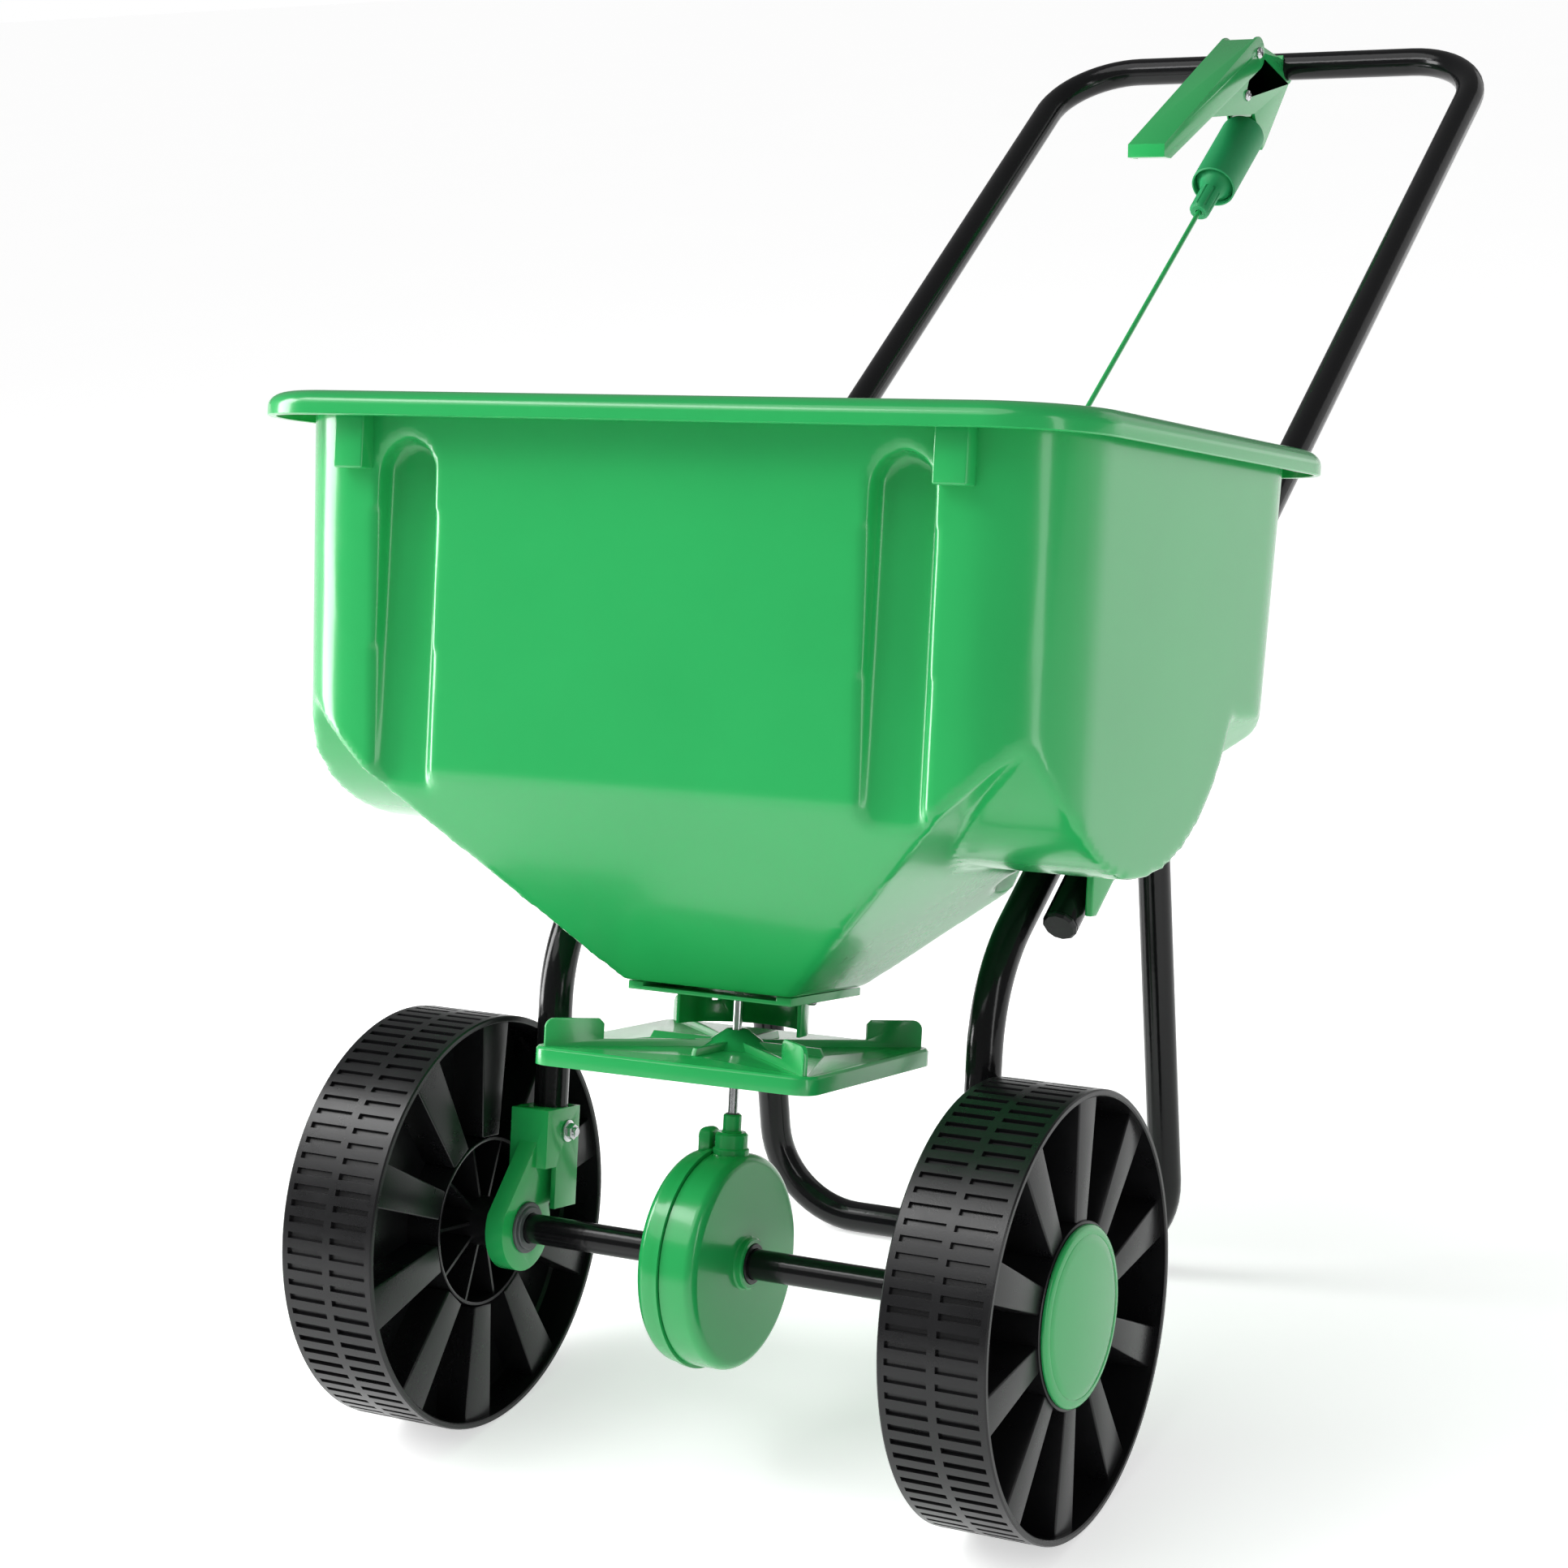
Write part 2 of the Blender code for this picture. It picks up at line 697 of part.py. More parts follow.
def make_drop_chute():
    """Rails that carry the shut-off plate, and the curved skirt behind the shaft."""
    top = CHUTE_TOP_Z
    low = top - CHUTE_SHEET
    body = block((-0.057, -0.038, low), (0.057, 0.053, top))
    for side in (1, -1):
        x1, x2 = sorted((sided(PLATE_HALF_WIDTH + 2 * GAP, side), sided(0.057, side)))
        join(body, block((x1, -0.038, top - 0.001), (x2, 0.053, FLOOR_Z - GAP)))
    skirt = arc((0, 0), CHUTE_RADIUS, 0, 180, 12)
    skirt += arc((0, 0), CHUTE_RADIUS - CHUTE_SHEET, 180, 0, 12)
    depth = low + 0.001 - CHUTE_SKIRT_Z
    join(body, plate(skirt, depth, (0, 0, CHUTE_SKIRT_Z + depth / 2), (1, 0, 0), (0, 1, 0), "skirt"))
    cut(body, block((-0.034, -0.014, low - 0.01), (0.034, 0.03, top + 0.0005)))
    for side in (1, -1):
        x = sided(CHUTE_SCREW_X, side)
        cut(body, cylinder((x, 0, low - 0.01), (x, 0, FLOOR_Z + 0.01), SCREW_RADIUS + GAP, 8))
        head = low - GAP
        screw = turned([(0.0, 0.0075), (SCREW_RADIUS, 0.0075), (SCREW_RADIUS, 0.0), (0.0035, 0.0),
                        (0.0035, -0.0012), (0.0022, -0.0022), (0.0, -0.0024)], (x, 0, head), (0, 0, 1), 8)
        part(screw, "chute_screw_" + SIDE_NAME[side], "steel")
    part(body, "drop_chute", "green")


# Frame -------------------------------------------------------------------------------------------


def bolt(name, side, head_x, end_x, y, z, hole_pieces=()):
    """A pan-head bolt along X, its head outside and its end towards the middle."""
    length = head_x - end_x
    profile = [(0.0, 0.0034), (0.0035, 0.003), (0.0052, 0.0016), (0.0058, 0.0)]
    profile += [(BOLT_RADIUS, 0.0), (BOLT_RADIUS, -length), (0.0, -length)]
    made = turned(profile, (sided(head_x, side), y, z), (side, 0, 0), 12)
    for piece in hole_pieces:
        drill(piece, side, head_x + 0.01, end_x - 0.01, y, z)
    return part(made, name + "_" + SIDE_NAME[side], "steel")


def drill(piece, side, outer_x, inner_x, y, z):
    ends = [(sided(x, side), y, z) for x in (outer_x, inner_x)]
    cut(piece, cylinder(*ends, BOLT_RADIUS + GAP, 12))


def nut(name, side, seat_x, y, z):
    """A hexagon nut, seated on the inner side at seat_x."""
    ends = [(sided(x, side), y, z) for x in (seat_x, seat_x - NUT_HEIGHT)]
    made = cylinder(*ends, NUT_FLATS, 6)
    bore = [(sided(x, side), y, z) for x in (seat_x + 0.01, seat_x - 0.02)]
    cut(made, cylinder(*bore, BOLT_RADIUS + GAP, 10))
    return part(made, name + "_" + SIDE_NAME[side], "steel")


def spacer(name, side, y, z):
    inner = INNER_TUBE_X + TUBE_RADIUS + GAP
    outer = HANDLE_X - TUBE_RADIUS - GAP
    ends = [(sided(x, side), y, z) for x in (inner, outer)]
    made = ring(BOLT_RADIUS + GAP, 0.0075, *ends, 12)
    return part(made, name + "_" + SIDE_NAME[side], "wheel")


def stand_top():
    return on_handle(STAND_TOP)


def make_frame():
    bar = bar_centre()
    corners = [on_handle(0, HANDLE_X), (HANDLE_X, *bar), (-HANDLE_X, *bar), on_handle(0, -HANDLE_X)]
    handle = tube(rounded_route(corners, HANDLE_BEND), TUBE_RADIUS, TUBE_WALL)
    top = stand_top()
    up = Vector((top.y - STAND_BAR.x, top.z - STAND_BAR.y)).normalized()
    past = Vector((0, *up)) * STAND_TOP_PAST
    x = INNER_TUBE_X
    corners = [Vector((x, top.y, top.z)) + past, (x, *STAND_BAR), (-x, *STAND_BAR),
               Vector((-x, top.y, top.z)) + past]
    stand = tube(rounded_route(corners, STAND_BEND), TUBE_RADIUS, TUBE_WALL)
    crossing = HANDLE_FOOT + RUN * ((LEG_Y - HANDLE_FOOT.x) / RUN.x)
    for side in (1, -1):
        leg_x = sided(INNER_TUBE_X, side)
        corners = [(leg_x, LEG_Y, LEG_FOOT_Z), (leg_x, *crossing), on_handle(LEG_LAP, leg_x)]
        leg = tube(rounded_route(corners, LEG_BEND), TUBE_RADIUS, TUBE_WALL)
        at = on_handle(FRAME_BOLT_AT)
        inner = INNER_TUBE_X - TUBE_RADIUS - GAP
        bolt("frame_bolt", side, EAR_X + EAR_SHEET / 2 + GAP, inner - NUT_HEIGHT - 0.002, at.y, at.z,
             (handle, leg))
        nut("frame_nut", side, inner, at.y, at.z)
        spacer("frame_spacer", side, at.y, at.z)
        outer = HANDLE_X + TUBE_RADIUS + GAP
        bolt("stand_bolt", side, outer, inner - NUT_HEIGHT - 0.002, top.y, top.z, (handle, stand))
        nut("stand_nut", side, inner, top.y, top.z)
        spacer("stand_spacer", side, top.y, top.z)
        drill(leg, side, SOCKET_OUTER_X + 0.01, SOCKET_INNER_X - 0.01, LEG_Y, BRACKET_BOLT_Z)
        part(leg, "leg_tube_" + SIDE_NAME[side], "tube")
        spigot = TUBE_RADIUS - TUBE_WALL - GAP
        profile = [(0.0, 0.014), (spigot, 0.014), (spigot, -GAP), (TUBE_RADIUS, -GAP),
                   (TUBE_RADIUS, -0.002), (TUBE_RADIUS - 0.0015, -0.0035), (0.0, -0.0035)]
        plug = turned(profile, on_handle(0, sided(HANDLE_X, side)), (0, *RUN), 12)
        part(plug, "handle_plug_" + SIDE_NAME[side], "wheel")
    part(handle, "handle_tube", "tube")
    part(stand, "stand_tube", "tube")


def make_bracket(side):
    """Axle bracket: a ring for the bush, a tapered strap and a socket on the leg's foot."""
    middle = (BRACKET_INNER_X + BRACKET_OUTER_X) / 2
    thick = BRACKET_OUTER_X - BRACKET_INNER_X
    front, back = LEG_Y - 0.0245, LEG_Y + 0.0135
    outline = arc((0, 0), BRACKET_RING, 158, 385, 20)
    outline += [(back, BRACKET_RING), (back, SOCKET_TOP_Z - 0.01), (front, SOCKET_TOP_Z - 0.01)]
    outline += [(front, 0.054)]
    strap = plate(outline, thick, (sided(middle, side), 0, 0), (0, 1, 0), (0, 0, 1), "strap")
    xs = sorted((sided(SOCKET_INNER_X, side), sided(SOCKET_OUTER_X, side)))
    join(strap, block((xs[0], front, LEG_FOOT_Z - 0.003), (xs[1], back, SOCKET_TOP_Z), "socket"))
    xs = sorted((sided(SOCKET_INNER_X, side), sided(SOCKET_INNER_X + 0.0035, side)))
    join(strap, block((xs[0], BUSH_FLANGE + 0.004, 0.01), (xs[1], back, SOCKET_TOP_Z - 0.002), "cheek"))
    xs = sorted((sided(SOCKET_INNER_X, side), sided(BRACKET_INNER_X + 0.001, side)))
    join(strap, block((xs[0], back - 0.004, 0.01), (xs[1], back, SOCKET_TOP_Z - 0.002), "return"))
    x = sided(INNER_TUBE_X, side)
    cut(strap, cylinder((x, LEG_Y, LEG_FOOT_Z - GAP), (x, LEG_Y, SOCKET_TOP_Z + 0.02),
                        TUBE_RADIUS + GAP, 24))
    ends = [(sided(v, side), 0, 0) for v in (BRACKET_INNER_X - 0.02, BRACKET_OUTER_X + 0.02)]
    cut(strap, cylinder(*ends, BUSH_RADIUS + GAP, 24))
    drill(strap, side, SOCKET_OUTER_X + 0.01, SOCKET_INNER_X - 0.01, LEG_Y, BRACKET_BOLT_Z)
    part(strap, "axle_bracket_" + SIDE_NAME[side], "green")
    seat = SOCKET_INNER_X - GAP
    bolt("bracket_bolt", side, SOCKET_OUTER_X + GAP, seat - NUT_HEIGHT - 0.002, LEG_Y, BRACKET_BOLT_Z)
    nut("bracket_nut", side, seat, LEG_Y, BRACKET_BOLT_Z)
    bore = AXLE_RADIUS + RUNNING
    flange = BRACKET_INNER_X - GAP
    profile = [(BUSH_RADIUS, thick + 0.0005), (BUSH_RADIUS, 0.0), (BUSH_FLANGE, 0.0),
               (BUSH_FLANGE, -0.0035), (bore, -0.0035), (bore, thick + 0.0005)]
    bush = turned(profile, (sided(flange, side), 0, 0), (side, 0, 0), 24, True)
    part(bush, "axle_bush_" + SIDE_NAME[side], "grey")


# Wheels and axle ---------------------------------------------------------------------------------


def spoke(side, angle):
    """A box rib from the drum to the rim, wider outwards, with its flat top just inside the rim."""
    near, far = WHEEL_DRUM_RADIUS - 0.001, WHEEL_RADIUS - WHEEL_RIM + 0.001
    low, high = WEB_X + WHEEL_WEB / 2, WHEEL_OUTER_X - SPOKE_SINK
    sections = []
    for radius, width in ((near, SPOKE_DRUM_WIDTH), (far, SPOKE_RIM_WIDTH)):
        top = width / 2
        foot = top + SPOKE_DRAFT
        flat = ((low, -foot), (low, foot), (high, top), (high, -top))
        sections.append([Vector((sided(x, side), w, radius)) for x, w in flat])
    turn = Matrix.Rotation(angle, 3, "X")
    return [[turn @ point for point in section] for section in sections]


def spokes(side):
    bm = bmesh.new()
    for k in range(WHEEL_SPOKES):
        rows = [[bm.verts.new(p) for p in s] for s in spoke(side, 2 * pi * k / WHEEL_SPOKES)]
        count = len(rows[0])
        for j in range(count):
            after = (j + 1) % count
            bm.faces.new((rows[0][j], rows[0][after], rows[1][after], rows[1][j]))
        bm.faces.new(rows[0])
        bm.faces.new(rows[1])
    return new_object("spokes", mesh_of("spokes", bm))


def make_wheel(side, name, moves_with):
    bore = AXLE_RADIUS + GAP if name == "drive_wheel" else AXLE_RADIUS + RUNNING
    rim_in = WHEEL_RADIUS - WHEEL_RIM
    drum_in = WHEEL_DRUM_RADIUS - 0.003
    web_low, web_high = WEB_X - WHEEL_WEB / 2, WEB_X + WHEEL_WEB / 2
    profile = [
        (WHEEL_RADIUS - 0.001, WHEEL_OUTER_X), (WHEEL_RADIUS, WHEEL_OUTER_X - 0.001),
        (WHEEL_RADIUS, WHEEL_INNER_X + 0.001), (WHEEL_RADIUS - 0.001, WHEEL_INNER_X),
        (rim_in, WHEEL_INNER_X), (rim_in, web_low), (WHEEL_HUB_RADIUS, web_low),
        (WHEEL_HUB_RADIUS, HUB_INNER_X), (bore, HUB_INNER_X), (bore, HUB_OUTER_X),
        (WHEEL_HUB_RADIUS, HUB_OUTER_X), (WHEEL_HUB_RADIUS, web_high + 0.002),
        (drum_in, web_high + 0.002), (drum_in, DRUM_OUTER_X), (WHEEL_DRUM_RADIUS, DRUM_OUTER_X),
        (WHEEL_DRUM_RADIUS, web_high), (rim_in, web_high), (rim_in, WHEEL_OUTER_X),
    ]
    wheel = turned(profile, (0, 0, 0), (side, 0, 0), 28, True)
    join(wheel, spokes(side))
    if name == "drive_wheel":
        x = sided(WHEEL_PIN_X, side)
        reach = WHEEL_HUB_RADIUS + 0.01
        cut(wheel, cylinder((x, 0, -reach), (x, 0, reach), PIN_RADIUS + GAP, 8))
    part(wheel, name, "wheel", moves_with)
    seat = DRUM_OUTER_X + GAP
    spigot = drum_in - GAP
    cap = [(0.0, HUB_CAP_DOME + 0.0025), (0.03, HUB_CAP_DOME + 0.0016), (0.049, HUB_CAP_DOME),
           (0.0535, HUB_CAP_DOME - 0.001), (0.0543, 0.0), (spigot, 0.0), (spigot, -0.006),
           (spigot - 0.002, -0.006), (spigot - 0.002, 0.0), (0.03, 0.0008), (0.0, 0.0012)]
    hub_cap = turned(cap, (sided(seat, side), 0, 0), (side, 0, 0), 28)
    part(hub_cap, name.replace("wheel", "hub_cap"), "green", moves_with)


def make_axle():
    ends = [(-AXLE_END_X, 0, 0), (AXLE_END_X, 0, 0)]
    inner = AXLE_RADIUS - AXLE_WALL
    axle = ring(inner, AXLE_RADIUS, *ends, 20, "axle")
    for x, radius in ((WHEEL_PIN_X, PIN_RADIUS), (-CLIP_X, 0.0015), (GEAR_PIN_X, PIN_RADIUS)):
        cut(axle, cylinder((x, 0, -0.02), (x, 0, 0.02), radius + GAP, 8))
    part(axle, "axle", "tube", "axle_spin")
    half = WHEEL_HUB_RADIUS + 0.001
    pin = cylinder((WHEEL_PIN_X, 0, -half), (WHEEL_PIN_X, 0, half), PIN_RADIUS, 8)
    part(pin, "wheel_pin", "steel", "axle_spin")
    clip = cylinder((-CLIP_X, 0, -0.014), (-CLIP_X, 0, 0.014), 0.0015, 8)
    part(clip, "wheel_clip", "steel", "axle_spin")
    pin = cylinder((GEAR_PIN_X, 0, -0.015), (GEAR_PIN_X, 0, 0.015), PIN_RADIUS, 8)
    part(pin, "gear_pin", "steel", "axle_spin")


# Gearbox -----------------------------------------------------------------------------------------

def make_crown_gear():
    inner, outer = CROWN_RADIUS - GEAR_FACE / 2, CROWN_RADIUS + GEAR_FACE / 2
    bore = AXLE_RADIUS + GAP
    profile = [(0.0145, CROWN_BACK_X), (0.0145, CROWN_HUB_X), (bore, CROWN_HUB_X), (bore, CROWN_FACE_X),
               (outer, CROWN_FACE_X), (outer, CROWN_BACK_X)]
    profile = [(r, h) for r, h in reversed(profile)]
    gear = turned(profile, (0, 0, 0), (1, 0, 0), 24, True)
    bm = bmesh.new()
    pitch = 2 * pi * CROWN_RADIUS / CROWN_TEETH
    for k in range(CROWN_TEETH):
        turn = Matrix.Rotation(2 * pi * k / CROWN_TEETH, 3, "X")
        rows = []
        for radius in (inner + 0.0006, outer - 0.0006):
            share = radius / CROWN_RADIUS
            base, tip = 0.43 * pitch * share, 0.22 * pitch * share
            low, high = CROWN_FACE_X - 0.001, CROWN_PITCH_X + TOOTH_OUT
            flat = ((low, -base / 2), (low, base / 2), (high, tip / 2), (high, -tip / 2))
            rows.append([bm.verts.new(turn @ Vector((x, w, radius))) for x, w in flat])
        for j in range(4):
            after = (j + 1) % 4
            bm.faces.new((rows[0][j], rows[0][after], rows[1][after], rows[1][j]))
        bm.faces.new(rows[0])
        bm.faces.new(rows[1])
    join(gear, new_object("crown_teeth", mesh_of("crown_teeth", bm)))
    cut(gear, cylinder((GEAR_PIN_X, 0, -0.03), (GEAR_PIN_X, 0, 0.03), PIN_RADIUS + GAP, 8))
    part(gear, "crown_gear", "nylon", "axle_spin")


def make_pinion():
    pitch = 2 * pi / PINION_TEETH
    outline = []
    for k in range(PINION_TEETH):
        middle = pi + (k + 0.5) * pitch
        root, tip = PINION_RADIUS - TOOTH_IN, PINION_RADIUS + TOOTH_OUT
        for radius, turn in ((root, -0.29), (tip, -0.085), (tip, 0.085), (root, 0.29)):
            angle = middle + turn * pitch
            outline.append((radius * cos(angle), radius * sin(angle)))
    low, high = CROWN_RADIUS - GEAR_FACE / 2 - 0.0007, CROWN_RADIUS + GEAR_FACE / 2 + 0.0007
    centre = (0, 0, (low + high) / 2)
    gear = plate(outline, high - low, centre, (1, 0, 0), (0, 1, 0), "pinion")
    cut(gear, cylinder((0, 0, low - 0.01), (0, 0, high + 0.01), SHAFT_RADIUS + GAP, 12))
    part(gear, "pinion", "nylon", "impeller_spin")


def make_gearbox():
    body = turned(
        [(0.0, BODY_FACE_X), (CASE_RADIUS - 0.004, BODY_FACE_X), (CASE_RADIUS, BODY_FACE_X - 0.004),
         (CASE_RADIUS, SEAM_X + GAP), (CASE_RADIUS - CASE_WALL, SEAM_X + GAP),
         (CASE_RADIUS - CASE_WALL, BODY_FACE_X - CASE_WALL), (0.0, BODY_FACE_X - CASE_WALL)],
        (0, 0, 0), (1, 0, 0), 28)
    cover = turned(
        [(0.0, -COVER_FACE_X), (CASE_RADIUS - 0.004, -COVER_FACE_X), (CASE_RADIUS, -COVER_FACE_X - 0.004),
         (CASE_RADIUS, -SEAM_X + 0.004), (CASE_RADIUS + 0.0018, -SEAM_X + 0.003),
         (CASE_RADIUS + 0.0018, -SEAM_X), (CASE_RADIUS - CASE_WALL, -SEAM_X),
         (CASE_RADIUS - CASE_WALL, -COVER_FACE_X - CASE_WALL), (0.0, -COVER_FACE_X - CASE_WALL)],
        (0, 0, 0), (-1, 0, 0), 28)
    turret_low = CASE_RADIUS - 0.004
    turret = turned(
        [(0.0, TURRET_TOP_Z), (TURRET_NECK_RADIUS - 0.001, TURRET_TOP_Z),
         (TURRET_NECK_RADIUS, TURRET_TOP_Z - 0.001), (TURRET_NECK_RADIUS, TURRET_SHOULDER_Z),
         (TURRET_RADIUS - 0.0015, TURRET_SHOULDER_Z), (TURRET_RADIUS, TURRET_SHOULDER_Z - 0.0015),
         (TURRET_RADIUS, turret_low), (0.0, turret_low)], (0, 0, 0), (0, 0, 1), 20)
    join(body, turret)
    ear_in, ear_out = -TURRET_RADIUS - GAP, -0.02
    join(cover, block((ear_out, -0.0065, CASE_RADIUS - 0.002), (ear_in, 0.0065, 0.0815), "clamp_ear"))
    rear = (CASE_RADIUS - 0.001, REAR_LUG_Y + 0.006)
    join(body, block((SEAM_X + GAP, rear[0], -0.006), (0.004, rear[1], 0.006), "lug"))
    join(cover, block((ear_out, rear[0], -0.006), (SEAM_X, rear[1], 0.006), "lug"))
    join(body, cylinder((BODY_FACE_X - 0.001, 0, 0), (BODY_FACE_X + COLLAR_PROUD, 0, 0), COLLAR_RADIUS, 24))
    join(cover, cylinder((COVER_FACE_X + 0.001, 0, 0), (COVER_FACE_X - COLLAR_PROUD, 0, 0),
                         COLLAR_RADIUS, 24))
    cut(cover, cylinder((0, 0, 0.05), (0, 0, 0.1), TURRET_RADIUS + GAP, 20))
    bush_seat = 0.0125
    for half in (body, cover):
        cut(half, cylinder((-0.06, 0, 0), (0.06, 0, 0), bush_seat + GAP, 24))
        cut(half, cylinder((-0.04, REAR_LUG_Y, 0), (0.02, REAR_LUG_Y, 0), SCREW_RADIUS + GAP, 8))
    cut(cover, cylinder((-0.04, 0, CLAMP_SCREW_Z), (0, 0, CLAMP_SCREW_Z), SCREW_RADIUS + GAP, 8))
    cut(body, cylinder((0, 0, 0.04), (0, 0, 0.12), SHAFT_BUSH_RADIUS + GAP, 16))
    cut(body, cylinder((-0.02, 0, CLAMP_SCREW_Z), (-0.0075, 0, CLAMP_SCREW_Z), SCREW_RADIUS + GAP, 8))
    part(body, "gearbox_body", "green")
    part(cover, "gearbox_cover", "green")
    for name, y, z, length in (("top", 0, CLAMP_SCREW_Z, 0.0118), ("rear", REAR_LUG_Y, 0, 0.022)):
        screw = turned([(0.0, 0.0024), (0.0022, 0.0022), (0.0035, 0.0012), (0.0035, 0.0),
                        (SCREW_RADIUS, 0.0), (SCREW_RADIUS, -length), (0.0, -length)],
                       (ear_out - GAP, y, z), (-1, 0, 0), 8)
        part(screw, "gearbox_screw_" + name, "steel")
    for side, face in ((1, BODY_FACE_X), (-1, COVER_FACE_X)):
        inside = abs(face) - CASE_WALL
        bush = ring(AXLE_RADIUS + RUNNING, bush_seat, (sided(inside, side), 0, 0),
                    (face + sided(COLLAR_PROUD + 0.001, side), 0, 0), 24)
        part(bush, "gearbox_bush_" + SIDE_NAME[side], "wheel")
    bush = ring(SHAFT_RADIUS + GAP, SHAFT_BUSH_RADIUS, (0, 0, turret_low + 0.001),
                (0, 0, TURRET_TOP_Z + 0.0005), 16)
    part(bush, "shaft_bush", "grey")


# Impeller ----------------------------------------------------------------------------------------


def upright(outline, angle, thickness):
    """A thin wall standing on the impeller, its outline in radius and height."""
    direction = Vector((cos(angle), sin(angle), 0))
    return plate(outline, thickness, (0, 0, 0), direction, (0, 0, 1), "vane")


def make_impeller():
    top, low = IMPELLER_TOP_Z, IMPELLER_TOP_Z - IMPELLER_RIM
    half, corner = IMPELLER_HALF, IMPELLER_CORNER
    disc = loft([rounded_section(half, -half, half, corner, z, 5) for z in (low, top - 0.0015)]
                + [rounded_section(half - 0.0015, 0.0015 - half, half - 0.0015, corner - 0.0015, top, 5)])
    half -= IMPELLER_SHEET
    corner -= IMPELLER_SHEET
    hollow = loft([rounded_section(half, -half, half, corner, z, 5)
                   for z in (low - 0.01, top - IMPELLER_SHEET)])
    for obj in (disc, hollow):
        obj.matrix_basis = Matrix.Rotation(IMPELLER_TURN, 4, "Z")
    cut(disc, hollow)
    base = top - 0.001
    rib, tall = top + RIB_HEIGHT, top + VANE_HEIGHT
    curl = 0.006
    vane = [(0.012, base), (VANE_TIP, base), (VANE_TIP, tall - curl)]
    vane += arc((VANE_TIP - curl, tall - curl), curl, 15, 90, 4)
    vane += [(VANE_STEP + 0.003, tall), (VANE_STEP, tall - 0.003), (VANE_STEP, rib), (0.012, rib)]
    low_rib = [(0.012, base), (RIB_REACH, base), (RIB_REACH - 0.003, rib), (0.012, rib)]
    for k in range(4):
        quarter = IMPELLER_TURN + k * pi / 2
        join(disc, upright(vane, quarter + pi / 4, 0.003), upright(low_rib, quarter, 0.003))
    foot = IMPELLER_PIN_Z - 0.0045
    hub = turned([(0.0, HUB_TOP_Z), (0.0065, HUB_TOP_Z), (0.011, HUB_TOP_Z - 0.003), (0.024, base),
                  (0.009, top - IMPELLER_SHEET), (0.009, foot), (0.0, foot)], (0, 0, 0), (0, 0, 1), 20)
    join(disc, hub)
    cut(disc, cylinder((0, 0, foot - 0.01), (0, 0, HUB_TOP_Z + 0.01), SHAFT_RADIUS + GAP, 12))
    reach = 0.02
    cut(disc, cylinder((-reach, 0, IMPELLER_PIN_Z), (reach, 0, IMPELLER_PIN_Z),
                       IMPELLER_PIN_RADIUS + GAP, 8))
    part(disc, "impeller", "green", "impeller_spin")
    pin = cylinder((-0.0095, 0, IMPELLER_PIN_Z), (0.0095, 0, IMPELLER_PIN_Z), IMPELLER_PIN_RADIUS, 8)
    part(pin, "impeller_pin", "steel", "impeller_spin")
    shaft = cylinder((0, 0, SHAFT_FOOT_Z), (0, 0, SHAFT_TOP_Z), SHAFT_RADIUS, 12)
    for z in (IMPELLER_PIN_Z, AGITATOR_Z):
        cut(shaft, cylinder((-reach, 0, z), (reach, 0, z), IMPELLER_PIN_RADIUS + GAP, 8))
    part(shaft, "impeller_shaft", "steel", "impeller_spin")
    route = rounded_route([(-0.032, 0, AGITATOR_Z + 0.012), (-0.022, 0, AGITATOR_Z),
                           (0.022, 0, AGITATOR_Z), (0.032, 0, AGITATOR_Z + 0.012)], 0.006, 3)
    part(tube(route, IMPELLER_PIN_RADIUS, 0, 2), "agitator", "steel", "impeller_spin")


# Hand control ------------------------------------------------------------------------------------


def lever_point(along, up):
    """A point in (y, z) measured from the pivot, along the lever and square to it."""
    y = LEVER_PIVOT.x - along * cos(LEVER_DROP) - up * sin(LEVER_DROP)
    z = LEVER_PIVOT.y - along * sin(LEVER_DROP) + up * cos(LEVER_DROP)
    return (y, z)


def across_x(outline, x1, x2, name):
    """An outline in (y, z) that reaches from x1 to x2."""
    return plate(outline, abs(x2 - x1), ((x1 + x2) / 2, 0, 0), (0, 1, 0), (0, 0, 1), name)


